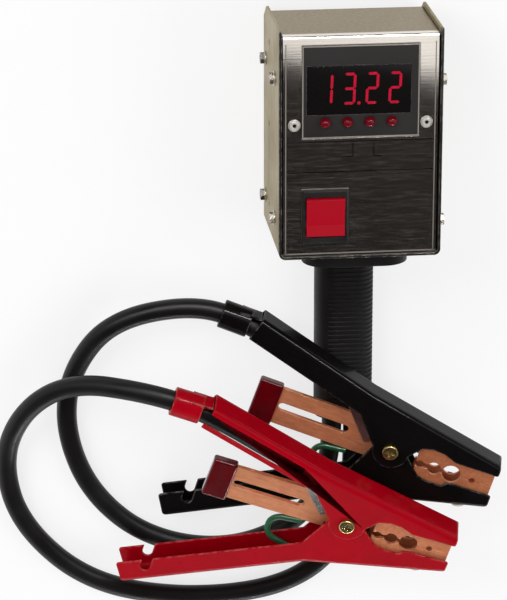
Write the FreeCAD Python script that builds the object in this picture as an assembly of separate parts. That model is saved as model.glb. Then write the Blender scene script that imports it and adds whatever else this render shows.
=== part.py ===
import FreeCAD
import Part
import math
import os

# Battery load tester lying on its back, with two leads and two spring clamps.
# Millimetres, +Z up, +Y towards the top of the case. The origin is at the middle of the
# tester's footprint on the table.

V = FreeCAD.Vector

# Case
CASE_WIDTH = 100.0
CASE_HEIGHT = 143.0
CASE_DEPTH = 84.0
WRAP_SHEET = 1.5
WRAP_BEND = 4.0
WRAP_PROUD = 3.0
REAR_CHAMFER_DEPTH = 14.0
REAR_CHAMFER_HEIGHT = 9.0
SHELL_SHEET = 1.2
SHELL_BEND = 2.0
SHELL_FLANGE = 26.0
SHELL_SIDE_GAP = 0.2
SCREW_ROWS = (20.0, 109.0)
SCREW_BACK = 10.0
SCREW_SETBACK = 21.0
SCREW_RIGHT_SETBACK = 7.5
SCREW_SHANK_RADIUS = 1.9
SCREW_LENGTH = 9.0
SCREW_HEX = 6.4
SCREW_HEAD = 3.4
SCREW_WASHER_RADIUS = 4.6
SCREW_WASHER = 0.8
SCREW_HOLE_CLEARANCE = 0.1
SPARE_HOLE_ROWS = (20.0, 72.0, 124.0)
SPARE_HOLE_DEPTH = 30.0
SPARE_HOLE_RADIUS = 2.0

# Display and indicators
PLATE_WIDTH = 71.6
PLATE_HEIGHT = 57.6
PLATE_PROUD = 0.6
PLATE_LIP = 1.0
PLATE_LIP_THICKNESS = 1.5
PLATE_CLEARANCE = 0.15
WINDOW_WIDTH = 63.5
WINDOW_HEIGHT = 30.4
WINDOW_MIDDLE = 106.0
WINDOW_RISE = 1.0
LENS_THICKNESS = 2.0
LENS_CLEARANCE = 0.1
LENS_PROUD = 0.3
MODULE_MARGIN = 2.0
LED_COUNT = 4
LED_PITCH = 13.6
DISPLAY_SHIFT = -1.2
LED_DROP = 20.0
LED_RADIUS = 3.2
LED_PROUD = 0.8
LED_CLEARANCE = 0.1
BOARD_WIDTH = 91.0
BOARD_HEIGHT = 60.0
BOARD_THICKNESS = 1.6
BOARD_SETBACK = 12.0
RIVET_SPACING = 81.0
RIVET_DROP = 21.5
RIVET_SHANK_RADIUS = 2.0
RIVET_HEAD_RADIUS = 3.8
RIVET_HEAD = 1.4
RIVET_CROWN_SHARE = 0.72
RIVET_MANDREL_RADIUS = 1.3
RIVET_MANDREL_DEPTH = 1.0
STANDOFF_RADIUS = 3.2

# Rocker switch
SWITCH_X = -21.3
SWITCH_Y = 26.5
BEZEL_WIDTH = 29.0
BEZEL_HEIGHT = 35.0
BEZEL_PROUD = 2.4
BEZEL_EDGE = 1.2
SWITCH_BODY_WIDTH = 27.6
SWITCH_BODY_HEIGHT = 30.0
SWITCH_BODY_DEPTH = 20.0
SWITCH_CUTOUT_CLEARANCE = 0.2
ROCKER_WIDTH = 23.6
ROCKER_RADIUS = 12.4
ROCKER_GAP = 0.35
ROCKER_TOP = 4.6
ROCKER_CREASE = 2.6
ROCKER_CREASE_Y = -5.0
ROCKER_TOE = 4.2
ROCKER_FLOOR = 5.0
ROCKER_PIN_RADIUS = 1.5
ROCKER_PIN_LENGTH = 1.2
ROCKER_PIN_CLEARANCE = 0.05
ROCKER_WELL = 9.0
BLADE_WIDTH = 6.3
BLADE_THICKNESS = 0.8
BLADE_LENGTH = 9.0
BLADE_PITCH = 14.0

# Load parts inside the case
RIBBON_RUNS = 6
RIBBON_PITCH = 9.0
RIBBON_LENGTH = 62.0
RIBBON_THICKNESS = 1.2
RIBBON_BREADTH = 22.0
RIBBON_LOW = 62.0
POST_RADIUS = 4.5
POST_HEIGHT = 8.0
POST_REACH = 21.0
RELAY_WIDTH = 30.0
RELAY_LENGTH = 24.0
RELAY_DEPTH = 30.0
RELAY_Y = 32.0
LUG_LENGTH = 14.0
LUG_WALL = 1.5

# Handle
HANDLE_LENGTH = 130.0
HANDLE_AXIS = 12.0
GRIP_WIDTH = 38.0
GRIP_DEPTH = 24.0
GRIP_RIBS = 34
GRIP_RIB_PITCH = 3.0
GRIP_RIB_DEPTH = 0.7
GRIP_RIB_WIDTH = 1.4
GRIP_RIB_START = 10.0
CORE_WALL = 1.6
CORE_CLEARANCE = 0.6
FLANGE_WIDTH = 66.0
FLANGE_DEPTH = 74.5
FLANGE_THICKNESS = 9.0
FLANGE_BACK = 0.5
FLANGE_CORNER = 16.0
FLANGE_SCREW_INSET = 9.0
FLANGE_SCREW_RADIUS = 2.4
FLANGE_SCREW_HEAD_RADIUS = 4.2
FLANGE_SCREW_HEAD = 2.6
FLANGE_SCREW_DEPTH = 7.0
PLUG_LENGTH = 6.0
PLUG_FLANGE = 3.0
PLUG_ROUND = 2.0

# Leads
LEAD_DIAMETER = 13.0
LEAD_SPACING = 14.0
LEAD_HOLE_CLEARANCE = 0.15
BEND_SHARE = 0.45

# Clamps, in a frame with the pivot at its origin, jaws towards +X and the pin along Z
LEVER_SHEET = 1.5
LEVER_HALF_WIDTH = 10.2
NEST_GAP = 0.3
SPINE_ROUND = 4.0
JAW_REACH = 71.0
UPPER_TIP_HEIGHT = 12.3
UPPER_KNEE = (-22.0, 34.0)
UPPER_SPINE_END = (-126.0, 67.6)
UPPER_END_DEPTH = 16.0
UPPER_WINDOW = [(19.0, 8.4), (26.0, 10.2), (33.5, 9.5), (42.0, 6.0)]
UPPER_EDGE_TIP = 5.6
LOWER_TIP_HEIGHT = -19.5
LOWER_KNEE = (-17.0, -41.0)
LOWER_SPINE_END = (-125.0, -97.0)
LOWER_END_DEPTH = 17.0
LOWER_WINDOW = [(18.0, -7.6), (22.0, -11.7), (29.5, -13.4), (38.5, -13.2), (41.5, -9.8)]
LOWER_EDGE_TIP = -9.6
UPPER_LOBE_RADIUS = 12.0
LOWER_LOBE_RADIUS = 11.0
UPPER_TIP_ROUND = 3.0
LOWER_TIP_ROUND = 4.0
EDGE_TIP_ROUND = 1.6
LOWER_END_ROUND = 3.5
LOWER_EAR_ROUND = 2.0
COLLAR_LENGTH = 19.0
COLLAR_NOTCH = 4.0
COLLAR_WALL = 2.6
COLLAR_BEND = 15.0
COLLAR_BRIDGE_HALF = 6.0
TAIL_DEPTH = 10.5
TAIL_START = 50.0
TAIL_LENGTH = 98.0
SLOT_MARGIN = 5.0
SLOT_LIP = 3.6
LOWER_NOTCH_X = -114.0
LOWER_NOTCH_RADIUS = 3.2
LOWER_NOTCH_DEPTH = 6.0
PIVOT_RADIUS = 3.2
PIVOT_CLEARANCE = 0.05
PIVOT_HEAD_RADIUS = 5.2
PIVOT_HEAD = 3.0
PIVOT_RECESS = 1.6
PIVOT_RECESS_WIDTH = 1.5
PIVOT_RECESS_REACH = 3.0
NUT_ACROSS = 11.0
NUT_THICKNESS = 5.0
JAW_HALF_WIDTH = 6.6
JAW_SHEET = 2.0
JAW_LINE = -4.0
JAW_GAP = 0.15
JAW_BACK = 18.0
JAW_FRONT = 69.0
POST_BITE_X = 42.0
POST_BITE_RADIUS = 6.0
NIP_X = 56.0
NIP_RADIUS = 2.0
JAW_LOBES = ((21.0, 2.8), (30.4, 4.3))
JAW_THROAT = 1.6
JAW_RIVET_X = 53.0
JAW_RIVET_HEAD_RADIUS = 6.0
JAW_RIVET_HEAD = 2.2
JAW_RIVET_RADIUS = 3.0
STRAP_ANGLE = 2.0
STRAP_LENGTH = 92.0
STRAP_HALF_WIDTH = 12.9
STRAP_THICKNESS = 3.0
STRAP_NECK = 13.0
STRAP_EYE_RADIUS = 9.0
STRAP_SLOT_START = 32.0
STRAP_SLOT_HALF_WIDTH = 2.8
SLEEVE_LENGTH = 14.0
SLEEVE_ROUND = 1.6
SLEEVE_WALL = 2.0
CRIMP_LENGTH = 11.0
CRIMP_WALL = 1.2
TONGUE_WIDTH = 9.0
SPRING_WIRE = 1.9
SPRING_LEG_RADIUS = 0.8
SPRING_TURNS = 2
JUMPER_DIAMETER = 4.0
JUMPER_START = 26.0
JUMPER_LOOP = 20.0

# Where the clamps lie: pivot, turn in plan, rise towards +Y and rise towards +X, in degrees
RED_PIVOT = V(-3.0, -187.5, 62.0)
RED_TURN = -17.0
RED_PITCH = 16.0
RED_ROLL = 11.0
BLACK_PIVOT = V(27.4, -147.0, 44.4)
BLACK_TURN = -17.5
BLACK_PITCH = 5.0
BLACK_ROLL = 12.0

# Free stretches of the leads, from the handle's plug to the clamp, as points chosen by hand
RED_LEAD_MIDDLE = [
    (4.0, -226.0, 7.0),
    (-32.0, -259.0, 7.0),
    (-98.0, -266.0, 7.0),
    (-166.0, -252.0, 7.0),
    (-211.0, -208.0, 7.0),
    (-222.0, -160.0, 9.0),
    (-207.0, -119.0, 26.0),
    (-176.0, -97.0, 40.0),
]
BLACK_LEAD_MIDDLE = [
    (-26.0, -213.0, 7.0),
    (-74.0, -232.0, 7.0),
    (-128.0, -221.0, 7.0),
    (-165.0, -187.0, 7.0),
    (-181.0, -142.0, 7.0),
    (-176.0, -100.0, 11.0),
    (-150.0, -62.0, 24.0),
]
LEAD_FIRST_RUN = 36.0
LEAD_ENTRY_RUN = 38.0

# Values worked out from the sizes above
CASE_LOW = HANDLE_LENGTH - (CASE_HEIGHT + HANDLE_LENGTH) / 2
CASE_TOP = CASE_LOW + CASE_HEIGHT
HALF_CASE = CASE_WIDTH / 2
SHELL_HALF = HALF_CASE - WRAP_SHEET - SHELL_SIDE_GAP
SHELL_LOW = CASE_LOW + WRAP_SHEET
SHELL_TOP = CASE_TOP - WRAP_PROUD
FACE = CASE_DEPTH - WRAP_PROUD
SCREW_FRONT = FACE - SCREW_SETBACK
SCREW_RIGHT_FRONT = FACE - SCREW_RIGHT_SETBACK
PLATE_MIDDLE = WINDOW_MIDDLE - WINDOW_RISE
LED_ROW = WINDOW_MIDDLE - LED_DROP
RIVET_ROW = WINDOW_MIDDLE - RIVET_DROP
FACE_BACK = FACE - SHELL_SHEET
BOARD_FRONT = FACE - BOARD_SETBACK
BOARD_BACK = BOARD_FRONT - BOARD_THICKNESS
HANDLE_END = CASE_LOW - HANDLE_LENGTH
FLANGE_LOW = CASE_LOW - FLANGE_THICKNESS
LEAD_RADIUS = LEAD_DIAMETER / 2
LEAD_X = LEAD_SPACING / 2
LOWER_HALF_WIDTH = LEVER_HALF_WIDTH - LEVER_SHEET - NEST_GAP
THROUGH = 200.0


def box(x_range, y_range, z_range):
    """A block between two limits on each axis."""
    corner = V(x_range[0], y_range[0], z_range[0])
    size = (x_range[1] - x_range[0], y_range[1] - y_range[0], z_range[1] - z_range[0])
    return Part.makeBox(size[0], size[1], size[2], corner)


def rod(start, end, radius):
    """A round bar between two points."""
    axis = end.sub(start)
    return Part.makeCylinder(radius, axis.Length, start, axis)


def prism(points, move):
    """A polygon drawn out along a vector."""
    return Part.Face(Part.makePolygon(points + [points[0]])).extrude(move)


def flat_prism(outline, low, high):
    """An outline of (x, y) pairs drawn out along Z between two heights."""
    return prism([V(x, y, low) for x, y in outline], V(0, 0, high - low))


def straight_edges(shape, direction, test):
    """Straight edges that run along a direction and whose middle passes a test."""
    chosen = []
    for edge in shape.Edges:
        if edge.Curve.TypeId != "Part::GeomLine":
            continue
        if abs(edge.tangentAt(edge.FirstParameter).dot(direction)) < 0.999:
            continue
        if test(edge.CenterOfMass):
            chosen.append(edge)
    return chosen


def rounded(shape, direction, radius, test=lambda point: True):
    """The shape with its edges along a direction rounded."""
    return shape.makeFillet(radius, straight_edges(shape, direction, test))


def stadium(width, depth, low, high):
    """A bar along Y with a flat-sided oval section about the handle's axis."""
    bar = box((-width / 2, width / 2), (low, high), (HANDLE_AXIS - depth / 2, HANDLE_AXIS + depth / 2))
    return rounded(bar, V(0, 1, 0), depth / 2 - 0.01)


def offset_path(points, distance):
    """An open path of (x, y) pairs moved to its left by a distance."""
    lines = []
    for start, end in zip(points, points[1:]):
        run = (end[0] - start[0], end[1] - start[1])
        length = math.hypot(run[0], run[1])
        normal = (-run[1] / length, run[0] / length)
        lines.append(((start[0] + normal[0] * distance, start[1] + normal[1] * distance), run))
    moved = [lines[0][0]]
    for (first, run_a), (second, run_b) in zip(lines, lines[1:]):
        cross = run_a[0] * run_b[1] - run_a[1] * run_b[0]
        share = ((second[0] - first[0]) * run_b[1] - (second[1] - first[1]) * run_b[0]) / cross
        moved.append((first[0] + run_a[0] * share, first[1] + run_a[1] * share))
    last, run = lines[-1]
    moved.append((last[0] + run[0], last[1] + run[1]))
    return moved


def route_wire(points, label):
    """Straight runs joined by tangent arcs; the tightest radius is printed."""
    edges = []
    radii = []
    start = points[0]
    for before, corner, after in zip(points, points[1:], points[2:]):
        back = before.sub(corner)
        ahead = after.sub(corner)
        trim = BEND_SHARE * min(back.Length, ahead.Length)
        back.normalize()
        ahead.normalize()
        half = math.acos(max(-1.0, min(1.0, back.dot(ahead)))) / 2
        middle = back.add(ahead)
        middle.normalize()
        radius = trim * math.tan(half)
        enter = corner.add(back.multiply(trim))
        leave = corner.add(ahead.multiply(trim))
        crown = corner.add(middle.multiply(trim / math.cos(half) - radius))
        edges.append(Part.LineSegment(start, enter).toShape())
        edges.append(Part.Arc(enter, crown, leave).toShape())
        radii.append(radius)
        start = leave
    edges.append(Part.LineSegment(start, points[-1]).toShape())
    print(label, "tightest bend radius", round(min(radii), 1), "of", [round(r) for r in radii])
    return Part.Wire(edges)


def tube(points, radius, label):
    """A round tube along a route."""
    path = route_wire(points, label)
    along = points[1].sub(points[0])
    section = Part.Wire(Part.makeCircle(radius, points[0], along))
    sweep = Part.BRepOffsetAPI.MakePipeShell(path)
    sweep.add(section)
    sweep.build()
    sweep.makeSolid()
    solid = sweep.shape()
    plain = math.pi * radius ** 2 * path.Length
    print(label, "length", round(path.Length, 1), "volume ratio", round(solid.Volume / plain, 4))
    return solid


def export(name, shape):
    """Write one node."""
    shape.exportStep("parts/" + name + ".step")


# Case

def case_profile(low, top, front, chamfer_depth, chamfer_height):
    """Side outline of the case as (y, z) pairs, with its rear top corner cut off."""
    return [(low, 0.0), (low, front), (top, front), (top, chamfer_depth), (top - chamfer_height, 0.0)]


def case_prism(outline, half_width):
    """A side outline drawn out across the case."""
    return prism([V(-half_width, y, z) for y, z in outline], V(2 * half_width, 0, 0))


def side_holes(radius, rows, depths):
    """Bars through both sides at each row and depth."""
    bars = []
    for row in rows:
        for depth in depths:
            middle = V(0, CASE_LOW + row, depth)
            bars.append(rod(middle.sub(V(THROUGH, 0, 0)), middle.add(V(THROUGH, 0, 0)), radius))
    return bars


def screw_seats():
    """Side and seat of each case screw; the front ones on the right stand nearer the front."""
    seats = []
    for side, front in ((-1, SCREW_FRONT), (1, SCREW_RIGHT_FRONT)):
        for row in SCREW_ROWS:
            for depth in (SCREW_BACK, front):
                seats.append((side, V(side * HALF_CASE, CASE_LOW + row, depth)))
    return seats


def screw_holes(radius):
    """Bars through the side sheets at the case screws."""
    bars = []
    for side, seat in screw_seats():
        bars.append(rod(seat.sub(V(side * SCREW_LENGTH, 0, 0)), seat.add(V(side, 0, 0)), radius))
    return bars


def flange_screw_places():
    """Middles of the four flange screws as (x, z) pairs."""
    reach = FLANGE_WIDTH / 2 - FLANGE_SCREW_INSET
    low = FLANGE_BACK + FLANGE_SCREW_INSET
    high = FLANGE_BACK + FLANGE_DEPTH - FLANGE_SCREW_INSET
    return [(x, z) for x in (-reach, reach) for z in (low, high)]


def core_section():
    """Inside width and depth of the handle's core."""
    width = LEAD_SPACING + LEAD_DIAMETER + 2 * CORE_CLEARANCE
    return width, LEAD_DIAMETER + 2 * CORE_CLEARANCE


def make_case_wrap():
    """Left side, bottom and right side bent from one sheet."""
    profile = case_profile(CASE_LOW, CASE_TOP, CASE_DEPTH, REAR_CHAMFER_DEPTH, REAR_CHAMFER_HEIGHT)
    outer = rounded(case_prism(profile, HALF_CASE), V(0, 0, 1), WRAP_BEND,
                    lambda point: point.y < CASE_LOW + 1)
    inside = HALF_CASE - WRAP_SHEET
    inner = box((-inside, inside), (SHELL_LOW, CASE_TOP + 1), (-1, CASE_DEPTH + 1))
    inner = rounded(inner, V(0, 0, 1), WRAP_BEND - WRAP_SHEET, lambda point: point.y < SHELL_LOW + 1)
    width, depth = core_section()
    cuts = [inner, stadium(width, depth, CASE_LOW - 1, SHELL_LOW + 1)]
    cuts += screw_holes(SCREW_SHANK_RADIUS + SCREW_HOLE_CLEARANCE)
    cuts += side_holes(SPARE_HOLE_RADIUS, SPARE_HOLE_ROWS, (SPARE_HOLE_DEPTH,))
    for x, z in flange_screw_places():
        cuts.append(rod(V(x, CASE_LOW - 1, z), V(x, SHELL_LOW + 1, z), FLANGE_SCREW_RADIUS))
    return outer.cut(cuts)


def make_face_shell():
    """Front, top, rear slope and back bent from one sheet, with turned-in side edges."""
    profile = case_profile(SHELL_LOW, SHELL_TOP, FACE, REAR_CHAMFER_DEPTH, REAR_CHAMFER_HEIGHT)
    outer = case_prism(profile, SHELL_HALF)
    outer = rounded(outer, V(1, 0, 0), SHELL_BEND,
                    lambda point: point.y > SHELL_TOP - 1 and point.z > FACE - 1)
    outer = rounded(outer, V(0, 0, 1), WRAP_BEND - WRAP_SHEET, lambda point: point.y < SHELL_LOW + 1)
    slope = math.hypot(REAR_CHAMFER_DEPTH, REAR_CHAMFER_HEIGHT)
    slope_z = REAR_CHAMFER_DEPTH + SHELL_SHEET * (slope - REAR_CHAMFER_DEPTH) / REAR_CHAMFER_HEIGHT
    slope_y = SHELL_SHEET * slope - REAR_CHAMFER_HEIGHT * (SHELL_SHEET - REAR_CHAMFER_DEPTH)
    slope_y = SHELL_TOP - slope_y / REAR_CHAMFER_DEPTH
    inside = [
        (CASE_LOW, SHELL_SHEET),
        (CASE_LOW, FACE_BACK),
        (SHELL_TOP - SHELL_SHEET, FACE_BACK),
        (SHELL_TOP - SHELL_SHEET, slope_z),
        (slope_y, SHELL_SHEET),
    ]
    hollow = case_prism(inside, SHELL_HALF - SHELL_SHEET)
    sides = box((-THROUGH, THROUGH), (CASE_LOW, SHELL_TOP - SHELL_FLANGE),
                (SHELL_FLANGE, FACE - SHELL_FLANGE))
    cuts = [hollow, sides]
    cuts += screw_holes(SCREW_SHANK_RADIUS)
    cuts.append(centred_box(0, PLATE_MIDDLE, PLATE_WIDTH + 2 * PLATE_CLEARANCE,
                            PLATE_HEIGHT + 2 * PLATE_CLEARANCE, FACE_BACK - 1, FACE + 1))
    cuts.append(centred_box(SWITCH_X, SWITCH_Y, SWITCH_BODY_WIDTH + 2 * SWITCH_CUTOUT_CLEARANCE,
                            SWITCH_BODY_HEIGHT + 2 * SWITCH_CUTOUT_CLEARANCE, FACE_BACK - 1, FACE + 1))
    for x in (-RIVET_SPACING / 2, RIVET_SPACING / 2):
        cuts.append(rod(V(x, CASE_LOW + RIVET_ROW, FACE_BACK - 1), V(x, CASE_LOW + RIVET_ROW, FACE + 1),
                        RIVET_SHANK_RADIUS))
    return outer.cut(cuts)


def centred_box(x, y, width, height, low, high):
    """A block about a point on the front, with y measured from the case's bottom."""
    middle = CASE_LOW + y
    return box((x - width / 2, x + width / 2), (middle - height / 2, middle + height / 2), (low, high))


def hexagon(centre, axis, flat, across, height):
    """A six-sided bar; flat points from the centre to one of its corners."""
    corners = []
    for step in range(6):
        turn = FreeCAD.Rotation(axis, 60.0 * step)
        corners.append(centre.add(turn.multVec(flat).multiply(across / math.sqrt(3))))
    return prism(corners, V(axis.x * height, axis.y * height, axis.z * height))


def make_case_screws():
    """Hex washer-head screws, two rows of two on each side."""
    screws = []
    for side, seat in screw_seats():
        shank = rod(seat.sub(V(side * SCREW_LENGTH, 0, 0)), seat, SCREW_SHANK_RADIUS)
        washer = rod(seat, seat.add(V(side * SCREW_WASHER, 0, 0)), SCREW_WASHER_RADIUS)
        head = hexagon(seat, V(side, 0, 0), V(0, 0, 1), SCREW_HEX, SCREW_HEAD)
        screws.append(shank.fuse([washer, head]).removeSplitter())
    return Part.makeCompound(screws)


# Display and indicators

def led_places():
    """Middles of the indicators along X."""
    return [DISPLAY_SHIFT + LED_PITCH * (step - (LED_COUNT - 1) / 2) for step in range(LED_COUNT)]


def make_display_plate():
    """Charcoal plate set into the front, with a lip behind the sheet."""
    body = centred_box(0, PLATE_MIDDLE, PLATE_WIDTH, PLATE_HEIGHT, FACE_BACK - PLATE_LIP_THICKNESS,
                       FACE + PLATE_PROUD)
    lip = centred_box(0, PLATE_MIDDLE, PLATE_WIDTH + 2 * PLATE_LIP, PLATE_HEIGHT + 2 * PLATE_LIP,
                      FACE_BACK - PLATE_LIP_THICKNESS, FACE_BACK)
    cuts = [centred_box(DISPLAY_SHIFT, WINDOW_MIDDLE, WINDOW_WIDTH, WINDOW_HEIGHT, BOARD_FRONT,
                        FACE + 2 * PLATE_PROUD)]
    for x in led_places():
        back = V(x, CASE_LOW + LED_ROW, BOARD_FRONT)
        front = V(x, CASE_LOW + LED_ROW, FACE + 2 * PLATE_PROUD)
        cuts.append(rod(back, front, LED_RADIUS + LED_CLEARANCE))
    return body.fuse(lip).removeSplitter().cut(cuts)


def make_display_lens():
    """Smoked window."""
    front = FACE + LENS_PROUD
    return centred_box(DISPLAY_SHIFT, WINDOW_MIDDLE, WINDOW_WIDTH - 2 * LENS_CLEARANCE,
                       WINDOW_HEIGHT - 2 * LENS_CLEARANCE, front - LENS_THICKNESS, front)


def make_display_module():
    """Four-digit module between the board and the lens."""
    return centred_box(DISPLAY_SHIFT, WINDOW_MIDDLE, WINDOW_WIDTH - 2 * MODULE_MARGIN,
                       WINDOW_HEIGHT - 2 * MODULE_MARGIN, BOARD_FRONT, FACE + LENS_PROUD - LENS_THICKNESS)


def make_indicator_leds():
    """Round indicators that stand on the board and look out through the plate."""
    leds = []
    for x in led_places():
        crown = V(x, CASE_LOW + LED_ROW, FACE + PLATE_PROUD + LED_PROUD)
        stem = rod(V(x, CASE_LOW + LED_ROW, BOARD_FRONT), crown, LED_RADIUS)
        leds.append(stem.fuse(Part.makeSphere(LED_RADIUS, crown)).removeSplitter())
    return Part.makeCompound(leds)


def make_circuit_board():
    """Board behind the display."""
    board = centred_box(0, WINDOW_MIDDLE, BOARD_WIDTH, BOARD_HEIGHT, BOARD_BACK, BOARD_FRONT)
    holes = []
    for x in (-RIVET_SPACING / 2, RIVET_SPACING / 2):
        place = V(x, CASE_LOW + RIVET_ROW, BOARD_BACK)
        holes.append(rod(place.sub(V(0, 0, 1)), place.add(V(0, 0, BOARD_THICKNESS + 1)), RIVET_SHANK_RADIUS))
    return board.cut(holes)


def make_board_standoffs():
    """Tubes on the rivets that hold the board off the front."""
    tubes = []
    for x in (-RIVET_SPACING / 2, RIVET_SPACING / 2):
        low = V(x, CASE_LOW + RIVET_ROW, BOARD_FRONT)
        high = V(x, CASE_LOW + RIVET_ROW, FACE_BACK)
        tubes.append(rod(low, high, STANDOFF_RADIUS).cut(rod(low, high, RIVET_SHANK_RADIUS)))
    return Part.makeCompound(tubes)


def make_panel_rivets():
    """Blind rivets through the front, the standoffs and the board."""
    rivets = []
    for x in (-RIVET_SPACING / 2, RIVET_SPACING / 2):
        seat = V(x, CASE_LOW + RIVET_ROW, FACE)
        tail = V(x, CASE_LOW + RIVET_ROW, BOARD_BACK)
        head = Part.makeCone(RIVET_HEAD_RADIUS, RIVET_HEAD_RADIUS * RIVET_CROWN_SHARE, RIVET_HEAD, seat)
        shank = rod(tail.sub(V(0, 0, RIVET_HEAD)), seat, RIVET_SHANK_RADIUS)
        set_end = rod(tail.sub(V(0, 0, RIVET_HEAD)), tail, STANDOFF_RADIUS)
        crown = seat.add(V(0, 0, RIVET_HEAD))
        dimple = rod(crown.sub(V(0, 0, RIVET_MANDREL_DEPTH)), crown, RIVET_MANDREL_RADIUS)
        rivets.append(head.fuse([shank, set_end]).removeSplitter().cut(dimple))
    return Part.makeCompound(rivets)


# Rocker switch, whose axis lies along X in the plane of the front

def make_switch_housing():
    """Bezel and body with the well that the rocker turns in."""
    bezel = centred_box(SWITCH_X, SWITCH_Y, BEZEL_WIDTH, BEZEL_HEIGHT, FACE, FACE + BEZEL_PROUD)
    rim = [edge for edge in bezel.Edges if edge.CenterOfMass.z > FACE + BEZEL_PROUD - 0.01]
    bezel = bezel.makeChamfer(BEZEL_EDGE, rim)
    body = centred_box(SWITCH_X, SWITCH_Y, SWITCH_BODY_WIDTH, SWITCH_BODY_HEIGHT,
                       FACE - SWITCH_BODY_DEPTH, FACE)
    well = centred_box(SWITCH_X, SWITCH_Y, ROCKER_WIDTH + 2 * ROCKER_GAP, 2 * (ROCKER_RADIUS + ROCKER_GAP),
                       FACE - ROCKER_WELL, FACE + 2 * BEZEL_PROUD)
    reach = ROCKER_WIDTH / 2 + ROCKER_PIN_LENGTH + ROCKER_PIN_CLEARANCE
    axis = V(SWITCH_X, CASE_LOW + SWITCH_Y, FACE)
    socket = rod(axis.sub(V(reach, 0, 0)), axis.add(V(reach, 0, 0)), ROCKER_PIN_RADIUS + ROCKER_PIN_CLEARANCE)
    return bezel.fuse(body).removeSplitter().cut([well, socket])


def make_load_rocker():
    """Red rocker with a crease below its middle and two stub pins."""
    middle = CASE_LOW + SWITCH_Y
    outline = [
        (-ROCKER_RADIUS, -ROCKER_FLOOR),
        (ROCKER_RADIUS, -ROCKER_FLOOR),
        (ROCKER_RADIUS, ROCKER_TOP),
        (ROCKER_CREASE_Y, ROCKER_CREASE),
        (-ROCKER_RADIUS, ROCKER_TOE),
    ]
    left = SWITCH_X - ROCKER_WIDTH / 2
    paddle = prism([V(left, middle + y, FACE + z) for y, z in outline], V(ROCKER_WIDTH, 0, 0))
    barrel = rod(V(left, middle, FACE), V(left + ROCKER_WIDTH, middle, FACE), ROCKER_RADIUS)
    reach = ROCKER_WIDTH / 2 + ROCKER_PIN_LENGTH
    pins = rod(V(SWITCH_X - reach, middle, FACE), V(SWITCH_X + reach, middle, FACE), ROCKER_PIN_RADIUS)
    return paddle.common(barrel).fuse(pins).removeSplitter()


def make_switch_terminals():
    """Blade terminals behind the housing."""
    back = FACE - SWITCH_BODY_DEPTH
    blades = []
    for y in (SWITCH_Y - BLADE_PITCH / 2, SWITCH_Y + BLADE_PITCH / 2):
        blades.append(centred_box(SWITCH_X, y, BLADE_WIDTH, BLADE_THICKNESS, back - BLADE_LENGTH, back))
    return Part.makeCompound(blades)


# Load parts inside the case

def make_load_element():
    """Resistance ribbon folded to and fro on edge."""
    low = SHELL_SHEET + POST_HEIGHT
    half = RIBBON_THICKNESS / 2
    bend = RIBBON_PITCH / 2
    pieces = []
    for run in range(RIBBON_RUNS):
        y = CASE_LOW + RIBBON_LOW + run * RIBBON_PITCH
        pieces.append(box((-RIBBON_LENGTH / 2, RIBBON_LENGTH / 2), (y - half, y + half),
                          (low, low + RIBBON_BREADTH)))
        if run == RIBBON_RUNS - 1:
            break
        side = 1 if run % 2 == 0 else -1
        turn = V(side * RIBBON_LENGTH / 2, y + bend, low)
        ring = Part.makeCylinder(bend + half, RIBBON_BREADTH, turn)
        ring = ring.cut(Part.makeCylinder(bend - half, RIBBON_BREADTH, turn))
        keep = box(sorted((turn.x, turn.x + side * RIBBON_PITCH)), (y - RIBBON_PITCH, y + 2 * RIBBON_PITCH),
                   (low, low + RIBBON_BREADTH))
        pieces.append(ring.common(keep))
    return pieces[0].fuse(pieces[1:]).removeSplitter()


def make_load_insulators():
    """Posts on the back panel that carry the first and last runs of the ribbon."""
    posts = []
    for run in (0, RIBBON_RUNS - 1):
        y = CASE_LOW + RIBBON_LOW + run * RIBBON_PITCH
        for x in (-POST_REACH, POST_REACH):
            posts.append(rod(V(x, y, SHELL_SHEET), V(x, y, SHELL_SHEET + POST_HEIGHT), POST_RADIUS))
    return Part.makeCompound(posts)


def make_load_relay():
    """Relay on the back panel, whose stud takes the red lead."""
    left = LEAD_X - LEAD_RADIUS
    low = CASE_LOW + RELAY_Y
    return box((left, left + RELAY_WIDTH), (low, low + RELAY_LENGTH),
               (SHELL_SHEET, SHELL_SHEET + RELAY_DEPTH))


def lead_ends():
    """X and the seat of each lead's lug: the relay for red, the ribbon for black."""
    red = (LEAD_X, CASE_LOW + RELAY_Y)
    black = (-LEAD_X, CASE_LOW + RIBBON_LOW - RIBBON_THICKNESS / 2)
    return red, black


def make_lead_lugs():
    """Lugs on the inner ends of the leads."""
    lugs = []
    for x, seat in lead_ends():
        barrel = rod(V(x, seat - LUG_LENGTH, HANDLE_AXIS), V(x, seat, HANDLE_AXIS), LEAD_RADIUS)
        flat = box((x - LEAD_DIAMETER, x + LEAD_DIAMETER), (seat - LUG_LENGTH / 3, seat - LUG_WALL),
                   (HANDLE_AXIS + LUG_WALL, THROUGH))
        barrel = barrel.cut(flat)
        lugs.append(barrel)
    return Part.makeCompound(lugs)


def make_inner_lead(x, seat):
    """Stretch of a lead from the handle's end to its lug."""
    return rod(V(x, HANDLE_END, HANDLE_AXIS), V(x, seat - LUG_LENGTH, HANDLE_AXIS), LEAD_RADIUS)


# Handle

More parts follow.
